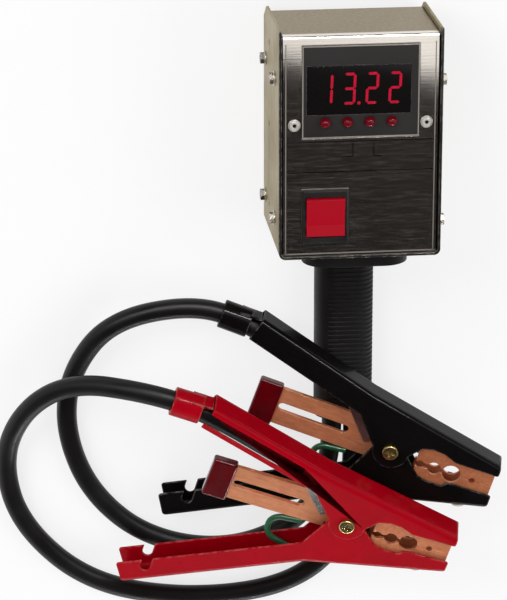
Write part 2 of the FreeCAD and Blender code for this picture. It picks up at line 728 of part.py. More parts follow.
def make_handle_flange():
    """Moulded mounting flange under the case, with an oval hole for the core."""
    plate = box((-FLANGE_WIDTH / 2, FLANGE_WIDTH / 2), (FLANGE_LOW, CASE_LOW),
                (FLANGE_BACK, FLANGE_BACK + FLANGE_DEPTH))
    plate = rounded(plate, V(0, 1, 0), FLANGE_CORNER)
    width, depth = core_section()
    cuts = [stadium(width + 2 * CORE_WALL, depth + 2 * CORE_WALL, FLANGE_LOW - 1, CASE_LOW + 1)]
    for x, z in flange_screw_places():
        cuts.append(rod(V(x, CASE_LOW - FLANGE_SCREW_DEPTH, z), V(x, CASE_LOW + 1, z), FLANGE_SCREW_RADIUS))
    return plate.cut(cuts)


def make_handle_core():
    """Oval tube that carries the leads up to the case."""
    width, depth = core_section()
    low = HANDLE_END + PLUG_FLANGE
    outer = stadium(width + 2 * CORE_WALL, depth + 2 * CORE_WALL, low, CASE_LOW)
    return outer.cut(stadium(width, depth, low - 1, CASE_LOW + 1))


def make_handle_grip():
    """Grip over the core, ribbed all round apart from a plain strip down its left side."""
    width, depth = core_section()
    low = HANDLE_END + PLUG_FLANGE
    outer = stadium(GRIP_WIDTH, GRIP_DEPTH, low, FLANGE_LOW)
    bore = stadium(width + 2 * CORE_WALL, depth + 2 * CORE_WALL, low - 1, FLANGE_LOW + 1)
    ribbed = box((GRIP_RIB_DEPTH - GRIP_DEPTH / 2, THROUGH), (-THROUGH, THROUGH), (-THROUGH, THROUGH))
    grooves = []
    for step in range(GRIP_RIBS):
        start = low + GRIP_RIB_START + step * GRIP_RIB_PITCH
        ring = stadium(GRIP_WIDTH + 2, GRIP_DEPTH + 2, start, start + GRIP_RIB_WIDTH)
        ring = ring.cut(stadium(GRIP_WIDTH - 2 * GRIP_RIB_DEPTH, GRIP_DEPTH - 2 * GRIP_RIB_DEPTH,
                                start - 1, start + GRIP_RIB_WIDTH + 1))
        grooves.append(ring.common(ribbed))
    return outer.cut(grooves + [bore])


def make_cable_plug():
    """Plug in the handle's end with a hole for each lead."""
    width, depth = core_section()
    cap = stadium(GRIP_WIDTH, GRIP_DEPTH, HANDLE_END, HANDLE_END + PLUG_FLANGE)
    rim = [edge for edge in cap.Edges if edge.BoundBox.YMax < HANDLE_END + 0.01]
    cap = cap.makeFillet(PLUG_ROUND, rim)
    boss = stadium(width, depth, HANDLE_END + PLUG_FLANGE, HANDLE_END + PLUG_FLANGE + PLUG_LENGTH)
    holes = []
    for x in (-LEAD_X, LEAD_X):
        holes.append(rod(V(x, HANDLE_END - 1, HANDLE_AXIS), V(x, CASE_LOW, HANDLE_AXIS),
                         LEAD_RADIUS + LEAD_HOLE_CLEARANCE))
    return cap.fuse(boss).removeSplitter().cut(holes)


def make_flange_screws():
    """Pan-head screws from inside the case into blind holes in the flange."""
    screws = []
    for x, z in flange_screw_places():
        seat = V(x, SHELL_LOW, z)
        shank = rod(V(x, CASE_LOW - FLANGE_SCREW_DEPTH, z), seat, FLANGE_SCREW_RADIUS)
        head = rod(seat, seat.add(V(0, FLANGE_SCREW_HEAD, 0)), FLANGE_SCREW_HEAD_RADIUS)
        screws.append(shank.fuse(head).removeSplitter())
    return Part.makeCompound(screws)


# Clamp, in its own frame

UPPER_SPINE = [(JAW_REACH, UPPER_TIP_HEIGHT), UPPER_KNEE, UPPER_SPINE_END]
LOWER_SPINE = [(JAW_REACH, LOWER_TIP_HEIGHT), LOWER_KNEE, LOWER_SPINE_END]


def line_height(start, end, x):
    """Height at x of the line through two (x, y) points."""
    return start[1] + (end[1] - start[1]) * (x - start[0]) / (end[0] - start[0])


def handle_place(spine, side):
    """A function from (distance along the handle, depth below its spine) to (x, y)."""
    end = spine[2]
    run = (spine[1][0] - end[0], spine[1][1] - end[1])
    length = math.hypot(run[0], run[1])
    ahead = (run[0] / length, run[1] / length)
    inward = (ahead[1] * side, -ahead[0] * side)

    def place(along, depth):
        return (end[0] + ahead[0] * along + inward[0] * depth, end[1] + ahead[1] * along + inward[1] * depth)

    return place


UPPER_PLACE = handle_place(UPPER_SPINE, 1)


def handle_box(place, along, depth, height):
    """A block in a handle's own directions."""
    corners = [(along[0], depth[0]), (along[1], depth[0]), (along[1], depth[1]), (along[0], depth[1])]
    return flat_prism([place(a, d) for a, d in corners], height[0], height[1])


def round_spine(solid, spine, half, radius):
    """The solid with both long corners of its spine rounded."""
    edges = []
    for start, end in zip(spine, spine[1:]):
        middle = V((start[0] + end[0]) / 2, (start[1] + end[1]) / 2, 0)
        along = V(end[0] - start[0], end[1] - start[1], 0).normalize()
        for edge in straight_edges(solid, along, lambda point: True):
            across = edge.CenterOfMass.sub(middle)
            sideways = V(across.x, across.y, 0)
            if sideways.Length < 1.0 and abs(abs(across.z) - half) < 0.01:
                edges.append(edge)
    return solid.makeFillet(radius, edges)


def corner_cut(before, corner, after, radius):
    """What comes off a lever's outline to round one of its corners, through its whole width."""
    back = V(before[0] - corner[0], before[1] - corner[1], 0).normalize()
    ahead = V(after[0] - corner[0], after[1] - corner[1], 0).normalize()
    half = math.acos(back.dot(ahead)) / 2
    point = V(corner[0], corner[1], -THROUGH)
    middle = back.add(ahead).normalize()
    centre = point.add(middle.multiply(radius / math.sin(half)))
    reach = radius / math.tan(half)
    outline = [point, point.add(back.multiply(reach)), centre, point.add(ahead.multiply(reach))]
    return prism(outline, V(0, 0, 2 * THROUGH)).cut(Part.makeCylinder(radius, 2 * THROUGH, centre))


def channel(spine, outline, half, side, lobe):
    """A pressed channel: back along the spine, side walls to the outline, ears round the pivot."""
    solid = round_spine(flat_prism(outline, -half, half), spine, half, SPINE_ROUND)
    ears = Part.makeCylinder(lobe, 2 * half, V(0, 0, -half))
    tip, knee, end = spine
    longer = [
        (tip[0] + 0.2 * (tip[0] - knee[0]), tip[1] + 0.2 * (tip[1] - knee[1])),
        knee,
        (end[0] + 0.2 * (end[0] - knee[0]), end[1] + 0.2 * (end[1] - knee[1])),
    ]
    inner = offset_path(longer, side * LEVER_SHEET)
    mouth = [(inner[2][0], -side * THROUGH), (inner[0][0], -side * THROUGH)]
    inside = half - LEVER_SHEET
    hollow = round_spine(flat_prism(inner + mouth, -inside, inside), inner, inside, SPINE_ROUND - LEVER_SHEET)
    hole = Part.makeCylinder(PIVOT_RADIUS + PIVOT_CLEARANCE, 2 * half + 2, V(0, 0, -half - 1))
    return solid.fuse(ears).removeSplitter().cut([hollow, hole])


def collar_place(along, above):
    """A point measured from the bend at the relief notch, out along the collar and up from its axis."""
    bend = UPPER_PLACE(COLLAR_LENGTH + COLLAR_NOTCH / 2, TAIL_DEPTH)
    inner = UPPER_PLACE(COLLAR_LENGTH + COLLAR_NOTCH, TAIL_DEPTH)
    angle = math.atan2(bend[1] - inner[1], bend[0] - inner[0]) + math.radians(COLLAR_BEND)
    out = (math.cos(angle), math.sin(angle))
    return (bend[0] + out[0] * along + out[1] * above, bend[1] + out[1] * along - out[0] * above)


def lead_in_clamp():
    """Last points of the lead in the clamp's frame: outside the collar, at the bend, in the channel."""
    ends = [collar_place(LEAD_ENTRY_RUN, 0), collar_place(0, 0), UPPER_PLACE(TAIL_START, TAIL_DEPTH)]
    return [V(x, y, 0) for x, y in ends]


def make_upper_lever(label, open_side):
    """Lever whose end is wrapped round the lead, with one wall cut away to lay the lead in."""
    deep = offset_path(UPPER_SPINE, UPPER_END_DEPTH)
    ears = [(-UPPER_LOBE_RADIUS, 0.0), (UPPER_LOBE_RADIUS, 0.0)]
    edge_tip = (JAW_REACH, UPPER_EDGE_TIP)
    outline = UPPER_SPINE + [deep[2], deep[1]] + ears + UPPER_WINDOW + [edge_tip]
    half = LEVER_HALF_WIDTH
    lever = channel(UPPER_SPINE, outline, half, 1, UPPER_LOBE_RADIUS)
    neck = COLLAR_LENGTH + COLLAR_NOTCH
    open_end = handle_box(UPPER_PLACE, (-THROUGH, neck), (-THROUGH, THROUGH), (-half - 1, half + 1))
    start = collar_place(COLLAR_NOTCH / 2, 0)
    finish = collar_place(COLLAR_NOTCH / 2 + COLLAR_LENGTH, 0)
    bore = LEAD_RADIUS + LEAD_HOLE_CLEARANCE
    collar = rod(V(start[0], start[1], 0), V(finish[0], finish[1], 0), bore + COLLAR_WALL)
    corners = [
        collar_place(COLLAR_NOTCH, bore - COLLAR_WALL / 2),
        collar_place(COLLAR_LENGTH / 2, bore - COLLAR_WALL / 2),
        collar_place(COLLAR_LENGTH / 2, bore + COLLAR_WALL / 2),
        collar_place(COLLAR_NOTCH, bore + COLLAR_WALL / 2),
        UPPER_PLACE(neck + COLLAR_NOTCH, LEVER_SHEET / 4),
        UPPER_PLACE(neck + COLLAR_NOTCH, 3 * LEVER_SHEET / 4),
    ]
    bridge = flat_prism(corners, -COLLAR_BRIDGE_HALF, COLLAR_BRIDGE_HALF)
    slot_depth = (SPINE_ROUND + NEST_GAP, UPPER_END_DEPTH - SLOT_LIP)
    slot_height = sorted((0, open_side * (half + 1)))
    slot = handle_box(UPPER_PLACE, (0, TAIL_LENGTH - SLOT_MARGIN), slot_depth, slot_height)
    passage = tube(lead_in_clamp(), bore, label)
    wrapped_end = collar.fuse(bridge).removeSplitter().cut(passage)
    tip = UPPER_SPINE[0]
    nose = [
        corner_cut(UPPER_SPINE[1], tip, edge_tip, UPPER_TIP_ROUND),
        corner_cut(UPPER_WINDOW[-1], edge_tip, tip, EDGE_TIP_ROUND),
    ]
    return lever.cut([open_end, slot] + nose).fuse(wrapped_end).removeSplitter()


def make_lower_lever():
    """Lever that moves when the handles are squeezed."""
    deep = offset_path(LOWER_SPINE, -LOWER_END_DEPTH)
    ears = [(-LOWER_LOBE_RADIUS, 0.0), (LOWER_LOBE_RADIUS, 0.0)]
    edge_tip = (JAW_REACH, LOWER_EDGE_TIP)
    outline = LOWER_SPINE + [deep[2], deep[1]] + ears + LOWER_WINDOW + [edge_tip]
    lever = channel(LOWER_SPINE, outline, LOWER_HALF_WIDTH, -1, LOWER_LOBE_RADIUS)
    edge = line_height(deep[2], deep[1], LOWER_NOTCH_X)
    floor = V(LOWER_NOTCH_X, edge - LOWER_NOTCH_DEPTH, -THROUGH)
    notch = Part.makeCylinder(LOWER_NOTCH_RADIUS, 2 * THROUGH, floor)
    mouth = flat_prism([
        (LOWER_NOTCH_X - LOWER_NOTCH_RADIUS, edge - LOWER_NOTCH_DEPTH),
        (LOWER_NOTCH_X + LOWER_NOTCH_RADIUS, edge - LOWER_NOTCH_DEPTH),
        (LOWER_NOTCH_X + LOWER_NOTCH_RADIUS, THROUGH),
        (LOWER_NOTCH_X - LOWER_NOTCH_RADIUS, THROUGH),
    ], -THROUGH, THROUGH)
    tip, knee, end = LOWER_SPINE
    corners = [
        corner_cut(knee, tip, edge_tip, LOWER_TIP_ROUND),
        corner_cut(LOWER_WINDOW[-1], edge_tip, tip, EDGE_TIP_ROUND),
        corner_cut(knee, end, deep[2], LOWER_END_ROUND),
        corner_cut(deep[1], deep[2], end, LOWER_EAR_ROUND),
    ]
    return lever.cut([notch, mouth, jaw_rivet_bar(JAW_RIVET_RADIUS)] + corners)


def gripping_edge(side):
    """Gripping edge of a jaw from back to front: an open throat, then a flat nose."""
    throat_end = POST_BITE_X - POST_BITE_RADIUS
    return [
        (JAW_BACK, JAW_LINE + side * JAW_THROAT),
        (throat_end, JAW_LINE + side * JAW_THROAT),
        (throat_end, JAW_LINE + side * JAW_GAP),
        (JAW_FRONT, JAW_LINE + side * JAW_GAP),
    ]


def make_jaw(spine, side):
    """Copper jaw: a channel against the lever's back, its two edges notched for a battery post."""
    seat = offset_path(spine, side * LEVER_SHEET)
    back = [(JAW_FRONT, line_height(seat[0], seat[1], JAW_FRONT)),
            (JAW_BACK, line_height(seat[0], seat[1], JAW_BACK))]
    solid = flat_prism(back + gripping_edge(side), -JAW_HALF_WIDTH, JAW_HALF_WIDTH)
    solid = round_spine(solid, back, JAW_HALF_WIDTH, SPINE_ROUND - LEVER_SHEET - NEST_GAP)
    web = offset_path(spine, side * (LEVER_SHEET + JAW_SHEET))
    hollow = [
        (JAW_FRONT + 1, line_height(web[0], web[1], JAW_FRONT + 1)),
        (JAW_BACK - 1, line_height(web[0], web[1], JAW_BACK - 1)),
        (JAW_BACK - 1, -side * THROUGH),
        (JAW_FRONT + 1, -side * THROUGH),
    ]
    inside = JAW_HALF_WIDTH - JAW_SHEET
    cuts = [flat_prism(hollow, -inside, inside)]
    for x, radius in JAW_LOBES + ((POST_BITE_X, POST_BITE_RADIUS), (NIP_X, NIP_RADIUS)):
        cuts.append(Part.makeCylinder(radius, 2 * THROUGH, V(x, JAW_LINE, -THROUGH)))
    if side < 0:
        cuts.append(jaw_rivet_bar(JAW_RIVET_RADIUS))
    return solid.cut(cuts)


def jaw_rivet_axis():
    """Seat of the lower jaw's rivet on the spine, and the way out of it."""
    tip, knee, _ = LOWER_SPINE
    along = V(tip[0] - knee[0], tip[1] - knee[1], 0).normalize()
    seat = V(JAW_RIVET_X, line_height(tip, knee, JAW_RIVET_X), 0)
    return seat, V(along.y, -along.x, 0)


def jaw_rivet_bar(radius):
    """Bar through the lower spine and the jaw's web."""
    seat, out = jaw_rivet_axis()
    depth = LEVER_SHEET + JAW_SHEET
    return Part.makeCylinder(radius, depth + 2, seat.sub(V(out.x * (depth + 1), out.y * (depth + 1), 0)), out)


def make_jaw_rivet():
    """Rivet that holds the lower jaw to its lever."""
    seat, out = jaw_rivet_axis()
    depth = LEVER_SHEET + JAW_SHEET
    foot = seat.sub(V(out.x * depth, out.y * depth, 0))
    inner = V(-out.x, -out.y, 0)
    crown = JAW_RIVET_HEAD_RADIUS * RIVET_CROWN_SHARE
    head = Part.makeCone(JAW_RIVET_HEAD_RADIUS, crown, JAW_RIVET_HEAD, seat, out)
    shank = rod(foot, seat, JAW_RIVET_RADIUS)
    tail = Part.makeCylinder(JAW_HALF_WIDTH - JAW_SHEET - NEST_GAP, JAW_RIVET_HEAD / 2, foot, inner)
    return head.fuse([shank, tail]).removeSplitter()


def make_pivot_screw():
    """Cross-recessed screw that the levers turn on."""
    half = LEVER_HALF_WIDTH
    shank = Part.makeCylinder(PIVOT_RADIUS, 2 * half + NUT_THICKNESS, V(0, 0, -half - NUT_THICKNESS))
    head = Part.makeCylinder(PIVOT_HEAD_RADIUS, PIVOT_HEAD, V(0, 0, half))
    crown = [edge for edge in head.Edges if edge.CenterOfMass.z > half + PIVOT_HEAD - 0.01 and edge.Closed]
    head = head.makeFillet(PIVOT_HEAD / 2, crown)
    top = half + PIVOT_HEAD
    reach = PIVOT_RECESS_REACH
    wide = PIVOT_RECESS_WIDTH / 2
    recess = box((-reach, reach), (-wide, wide), (top - PIVOT_RECESS, top + 1))
    cross = box((-wide, wide), (-reach, reach), (top - PIVOT_RECESS, top + 1))
    return shank.fuse(head).removeSplitter().cut([recess, cross])


def make_pivot_nut():
    """Nut on the far end of the pivot screw."""
    low = -LEVER_HALF_WIDTH - NUT_THICKNESS
    nut = hexagon(V(0, 0, low), V(0, 0, 1), V(1, 0, 0), NUT_ACROSS, NUT_THICKNESS)
    return nut.cut(Part.makeCylinder(PIVOT_RADIUS, NUT_THICKNESS, V(0, 0, low)))


def strap_place(along, across):
    """A point on the strap, measured from the pivot along it and across it."""
    angle = math.radians(STRAP_ANGLE)
    x = -along * math.cos(angle) + across * math.sin(angle)
    return x, along * math.sin(angle) + across * math.cos(angle)


def strap_block(along, half, height):
    """A block in the strap's own directions."""
    corners = [(along[0], -half), (along[1], -half), (along[1], half), (along[0], half)]
    return flat_prism([strap_place(a, b) for a, b in corners], -height, height)


def make_shunt_strap():
    """Copper bar with a long slot, held on the pivot screw."""
    half = STRAP_THICKNESS / 2
    bar = strap_block((STRAP_NECK, STRAP_LENGTH), STRAP_HALF_WIDTH, half)
    neck = strap_block((0, STRAP_NECK), STRAP_EYE_RADIUS, half)
    eye = Part.makeCylinder(STRAP_EYE_RADIUS, STRAP_THICKNESS, V(0, 0, -half))
    slot_end = STRAP_LENGTH - SLEEVE_LENGTH - STRAP_SLOT_HALF_WIDTH - 1
    cuts = [strap_block((STRAP_SLOT_START, slot_end), STRAP_SLOT_HALF_WIDTH, THROUGH)]
    for along in (STRAP_SLOT_START, slot_end):
        x, y = strap_place(along, 0)
        cuts.append(Part.makeCylinder(STRAP_SLOT_HALF_WIDTH, 2 * THROUGH, V(x, y, -THROUGH)))
    cuts.append(Part.makeCylinder(PIVOT_RADIUS + PIVOT_CLEARANCE, 2 * THROUGH, V(0, 0, -THROUGH)))
    return bar.fuse([neck, eye]).removeSplitter().cut(cuts)


def make_strap_sleeve():
    """Dipped sleeve on the strap's end."""
    cap = strap_block((STRAP_LENGTH - SLEEVE_LENGTH, STRAP_LENGTH + SLEEVE_WALL),
                      STRAP_HALF_WIDTH + SLEEVE_WALL, STRAP_THICKNESS / 2 + SLEEVE_WALL)
    cap = cap.makeFillet(SLEEVE_ROUND, cap.Edges)
    return cap.cut(strap_block((0, STRAP_LENGTH), STRAP_HALF_WIDTH, STRAP_THICKNESS / 2))


def make_cable_tail():
    """Stretch of lead inside the upper lever."""
    start = UPPER_PLACE(TAIL_START, TAIL_DEPTH)
    finish = UPPER_PLACE(TAIL_LENGTH, TAIL_DEPTH)
    return rod(V(start[0], start[1], 0), V(finish[0], finish[1], 0), LEAD_RADIUS)


def make_cable_crimp():
    """Barrel on the lead's end with a tongue down to the strap."""
    start = UPPER_PLACE(TAIL_LENGTH - CRIMP_LENGTH, TAIL_DEPTH)
    finish = UPPER_PLACE(TAIL_LENGTH, TAIL_DEPTH)
    closed = UPPER_PLACE(TAIL_LENGTH + CRIMP_WALL, TAIL_DEPTH)
    barrel = rod(V(start[0], start[1], 0), V(closed[0], closed[1], 0), LEAD_RADIUS + CRIMP_WALL)
    barrel = barrel.cut(rod(V(start[0], start[1], 0), V(finish[0], finish[1], 0), LEAD_RADIUS))
    low = STRAP_THICKNESS / 2
    foot = strap_place(PIVOT_HEAD_RADIUS + TONGUE_WIDTH, 0)
    run = V(foot[0] - closed[0], foot[1] - closed[1], 0).normalize()
    side = V(-run.y * TONGUE_WIDTH / 2, run.x * TONGUE_WIDTH / 2, 0)
    ends = [V(finish[0], finish[1], low), V(foot[0], foot[1], low)]
    tongue = prism([ends[0].add(side), ends[1].add(side), ends[1].sub(side), ends[0].sub(side)],
                   V(0, 0, CRIMP_WALL * 2))
    inner = rod(V(start[0], start[1], 0), V(finish[0], finish[1], 0), LEAD_RADIUS)
    return barrel.fuse(tongue).removeSplitter().cut(inner)


def make_spring():
    """Torsion spring on the pivot screw: closed turns and a leg to each lever."""
    low = STRAP_THICKNESS / 2 + NEST_GAP
    high = low + SPRING_WIRE * SPRING_TURNS
    inner = PIVOT_RADIUS + NEST_GAP
    coil = Part.makeCylinder(inner + SPRING_WIRE, high - low, V(0, 0, low))
    coil = coil.cut(Part.makeCylinder(inner, high - low, V(0, 0, low)))
    mean = inner + SPRING_WIRE / 2
    wire = SPRING_WIRE / 2
    fixed_end = V(-PIVOT_HEAD_RADIUS - TONGUE_WIDTH / 3, mean, low + wire)
    fixed = rod(V(0, mean, low + wire), fixed_end, SPRING_LEG_RADIUS)
    reach = LOWER_KNEE[0]
    floor = LOWER_KNEE[1] + LEVER_SHEET + 2 * SPRING_WIRE
    moving = rod(V(0, -mean, high - wire), V(reach, floor, high - wire), SPRING_LEG_RADIUS)
    return coil.fuse([fixed, moving]).removeSplitter()


def make_jumper_wire(label):
    """Insulated wire looped behind the pivot from the strap to the lower lever."""
    top = strap_place(JUMPER_START, -STRAP_HALF_WIDTH)
    end_x = LOWER_KNEE[0] - JUMPER_DIAMETER
    floor = line_height(LOWER_SPINE[1], LOWER_SPINE[2], end_x) + LEVER_SHEET + JUMPER_DIAMETER / 2
    points = [
        V(top[0], top[1] - JUMPER_DIAMETER / 2, 0),
        V(top[0] - JUMPER_LOOP, top[1] - JUMPER_DIAMETER, 0),
        V(top[0] - JUMPER_LOOP, top[1] - JUMPER_LOOP, 0),
        V(end_x, floor + NEST_GAP, 0),
    ]
    return tube(points, JUMPER_DIAMETER / 2, label)


def clamp_placement(pivot, turn, pitch, roll):
    """Where a clamp lies: turned in plan, then raised towards +Y and towards +X."""
    rotation = FreeCAD.Rotation(V(0, 1, 0), -roll)
    rotation = rotation.multiply(FreeCAD.Rotation(V(1, 0, 0), pitch))
    rotation = rotation.multiply(FreeCAD.Rotation(V(0, 0, 1), turn))
    return FreeCAD.Placement(pivot, rotation)


RED_PLACEMENT = clamp_placement(RED_PIVOT, RED_TURN, RED_PITCH, RED_ROLL)
BLACK_PLACEMENT = clamp_placement(BLACK_PIVOT, BLACK_TURN, BLACK_PITCH, BLACK_ROLL)


def export_clamp(colour, placement, open_side):
    """Write every node of one clamp where it lies."""
    pieces = {
        "upper_lever": make_upper_lever(colour + " clamp passage", open_side),
        "lower_lever": make_lower_lever(),
        "upper_jaw": make_jaw(UPPER_SPINE, 1),
        "lower_jaw": make_jaw(LOWER_SPINE, -1),
        "jaw_rivet": make_jaw_rivet(),
        "pivot_screw": make_pivot_screw(),
        "pivot_nut": make_pivot_nut(),
        "spring": make_spring(),
        "shunt_strap": make_shunt_strap(),
        "strap_sleeve": make_strap_sleeve(),
        "jumper_wire": make_jumper_wire(colour + " jumper"),
        "cable_crimp": make_cable_crimp(),
        "cable_tail": make_cable_tail(),
    }
    for name, shape in pieces.items():
        shape.Placement = placement.multiply(shape.Placement)
        export(colour + "_clamp_" + name, shape)


def lead_route(x, middle, placement):
    """Route of a lead from the handle's plug through the collar of its clamp."""
    points = [V(x, HANDLE_END, HANDLE_AXIS), V(x, HANDLE_END - LEAD_FIRST_RUN, HANDLE_AXIS)]
    points += [V(*point) for point in middle]
    points += [placement.multVec(point) for point in lead_in_clamp()]
    return points


def main():
    """Build and write every node."""
    os.makedirs("parts", exist_ok=True)
    export("case_wrap", make_case_wrap())
    export("face_shell", make_face_shell())
    export("case_screws", make_case_screws())
    export("display_plate", make_display_plate())
    export("display_lens", make_display_lens())
    export("display_module", make_display_module())
    export("indicator_leds", make_indicator_leds())
    export("circuit_board", make_circuit_board())
    export("board_standoffs", make_board_standoffs())
    export("panel_rivets", make_panel_rivets())
    export("switch_housing", make_switch_housing())
    export("load_rocker", make_load_rocker())
    export("switch_terminals", make_switch_terminals())
    export("load_element", make_load_element())
    export("load_insulators", make_load_insulators())
    export("load_relay", make_load_relay())
    export("lead_lugs", make_lead_lugs())
    red_end, black_end = lead_ends()
    export("red_inner_lead", make_inner_lead(*red_end))
    export("black_inner_lead", make_inner_lead(*black_end))
    export("handle_flange", make_handle_flange())
    export("handle_core", make_handle_core())
    export("handle_grip", make_handle_grip())
    export("cable_plug", make_cable_plug())
    export("flange_screws", make_flange_screws())
    export_clamp("red", RED_PLACEMENT, 1)
    export_clamp("black", BLACK_PLACEMENT, -1)
    red_route = lead_route(LEAD_X, RED_LEAD_MIDDLE, RED_PLACEMENT)
    black_route = lead_route(-LEAD_X, BLACK_LEAD_MIDDLE, BLACK_PLACEMENT)
    export("red_lead", tube(red_route, LEAD_RADIUS, "red lead"))
    export("black_lead", tube(black_route, LEAD_RADIUS, "black lead"))


main()
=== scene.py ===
"""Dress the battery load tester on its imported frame: studio, leads, finishes and fine pieces."""

from __future__ import annotations

import logging
import math
from dataclasses import dataclass
from enum import Enum

import bpy
from mathutils import Matrix, Vector

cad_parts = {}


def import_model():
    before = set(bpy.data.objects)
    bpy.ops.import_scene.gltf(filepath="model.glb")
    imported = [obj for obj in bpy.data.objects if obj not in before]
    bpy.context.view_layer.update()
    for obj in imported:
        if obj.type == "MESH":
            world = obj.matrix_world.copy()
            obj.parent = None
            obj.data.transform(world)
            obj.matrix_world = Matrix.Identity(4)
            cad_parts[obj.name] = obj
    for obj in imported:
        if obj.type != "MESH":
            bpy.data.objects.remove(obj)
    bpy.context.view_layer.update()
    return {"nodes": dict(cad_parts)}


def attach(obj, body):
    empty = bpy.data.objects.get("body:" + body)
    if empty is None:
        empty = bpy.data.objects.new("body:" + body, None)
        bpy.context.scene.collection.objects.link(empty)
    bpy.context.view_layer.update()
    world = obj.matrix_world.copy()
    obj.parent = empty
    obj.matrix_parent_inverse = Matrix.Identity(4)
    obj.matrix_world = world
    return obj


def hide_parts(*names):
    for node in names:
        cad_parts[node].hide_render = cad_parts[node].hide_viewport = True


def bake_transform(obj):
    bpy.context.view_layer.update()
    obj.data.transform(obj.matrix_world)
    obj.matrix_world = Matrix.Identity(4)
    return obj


LOG = logging.getLogger("tester")

Point = tuple[float, float, float]
Tone = tuple[float, float, float]
Socket = bpy.types.NodeSocket
Node = bpy.types.Node
Piece = bpy.types.Object
Material = bpy.types.Material
Axes = dict[str, Socket]
Nodes = dict[str, Piece]
Materials = dict[str, Material]

# Height of the front sheet's outer face over the table, in metres.
FACE = 0.081
ORIGIN = (0.0, 0.0, 0.0)
WHITE = (1.0, 1.0, 1.0, 1.0)

# Depth of a finish's raised pattern, and rays spent on finding edges.
RELIEF_DEPTH = 0.0002
EDGE_SAMPLES = 4


class Pattern(Enum):
    """Fine surface pattern of a finish."""

    BRUSHED = "brushed"
    GRAIN = "grain"


class Body(Enum):
    """Bodies of the frame that pieces ride on."""

    TESTER = "tester"
    RED_LOWER = "red_lower_lever"
    BLACK_LOWER = "black_lower_lever"


def linear(tone: Tone) -> tuple[float, float, float, float]:
    """Turn a screen colour of 0 to 255 into linear light.

    Args:
        tone: red, green and blue on the screen's scale.

    Returns:
        The linear colour with full alpha.
    """
    parts = []
    for value in tone:
        share = value / 255.0
        parts.append(share / 12.92 if share <= 0.04045 else ((share + 0.055) / 1.055) ** 2.4)
    return (parts[0], parts[1], parts[2], 1.0)


class Bench:
    """Short calls for laying out shader nodes in one tree."""

    def __init__(self, tree: bpy.types.NodeTree) -> None:
        """Keep the tree that nodes are added to."""
        self.tree = tree

    def add(self, kind: str, **settings: object) -> Node:
        """Add a node.

        Args:
            kind: the node's type name.
            settings: properties set on the node.

        Returns:
            The new node.
        """
        node = self.tree.nodes.new(kind)
        for key, value in settings.items():
            setattr(node, key, value)
        return node

    def link(self, value: object, socket: Socket) -> None:
        """Link an input to a socket, or set a plain value on it.

        Args:
            value: a socket, a number or a colour.
            socket: the input that takes it.
        """
        if isinstance(value, Socket):
            self.tree.links.new(value, socket)
        else:
            socket.default_value = value

    def axes(self, vector: Socket) -> Axes:
        """Split a place into its X, Y and Z.

        Args:
            vector: the place.

        Returns:
            The three values' sockets by axis.
        """
        node = self.add("ShaderNodeSeparateXYZ")
        self.link(vector, node.inputs[0])
        return {axis: node.outputs[axis] for axis in "XYZ"}

    def math(self, operation: str, *values: object) -> Socket:
        """Work out one value from one or two.

        Args:
            operation: the math node's operation.
            values: sockets or numbers.

        Returns:
            The result's socket.
        """
        node = self.add("ShaderNodeMath", operation=operation)
        for value, socket in zip(values, node.inputs):
            self.link(value, socket)
        return node.outputs[0]

    def ramp(
        self, value: object, low: float, high: float, start: float = 0.0, end: float = 1.0
    ) -> Socket:
        """Spread a value from one range over another, held at the ends.

        Args:
            value: the socket to spread.
            low: value that gives start.
            high: value that gives end.
            start: result at low.
            end: result at high.

        Returns:
            The spread value's socket.
        """
        node = self.add("ShaderNodeMapRange", clamp=True)
        self.link(value, node.inputs["Value"])
        ends = {"From Min": low, "From Max": high, "To Min": start, "To Max": end}
        for key, number in ends.items():
            node.inputs[key].default_value = number
        return node.outputs["Result"]

    def mix(self, share: object, first: object, second: object) -> Socket:
        """Mix two colours.

        Args:
            share: how much of the second colour shows.
            first: a socket or a colour.
            second: a socket or a colour.

        Returns:
            The mixed colour's socket.
        """
        node = self.add("ShaderNodeMix", data_type="RGBA")
        self.link(share, node.inputs[0])
        self.link(first, node.inputs[6])
        self.link(second, node.inputs[7])
        return node.outputs[2]

    def noise(self, vector: Socket, scale: object, detail: float, rough: float) -> Socket:
        """Add a noise field.

        Args:
            vector: where the noise is read.
            scale: a number or a socket.
            detail: octaves.
            rough: weight of the finer octaves.

        Returns:
            The noise's value socket.
        """
        node = self.add("ShaderNodeTexNoise")
        self.link(vector, node.inputs["Vector"])
        self.link(scale, node.inputs["Scale"])
        node.inputs["Detail"].default_value = detail
        node.inputs["Roughness"].default_value = rough
        return node.outputs["Fac"]

    def whiten(self, share: Socket, shader: Node, kind: str, sink: Node) -> None:
        """Mix plain white into what a tree shows.

        Args:
            share: how much of the white shows.
            shader: what shows without it.
            kind: type name of the white's node.
            sink: the tree's output node.
        """
        white = self.add(kind)
        white.inputs["Color"].default_value = WHITE
        white.inputs["Strength"].default_value = 1.0
        blend = self.add("ShaderNodeMixShader")
        for value, socket in zip((share, shader.outputs[0], white.outputs[0]), blend.inputs):
            self.link(value, socket)
        self.link(blend.outputs[0], sink.inputs["Surface"])


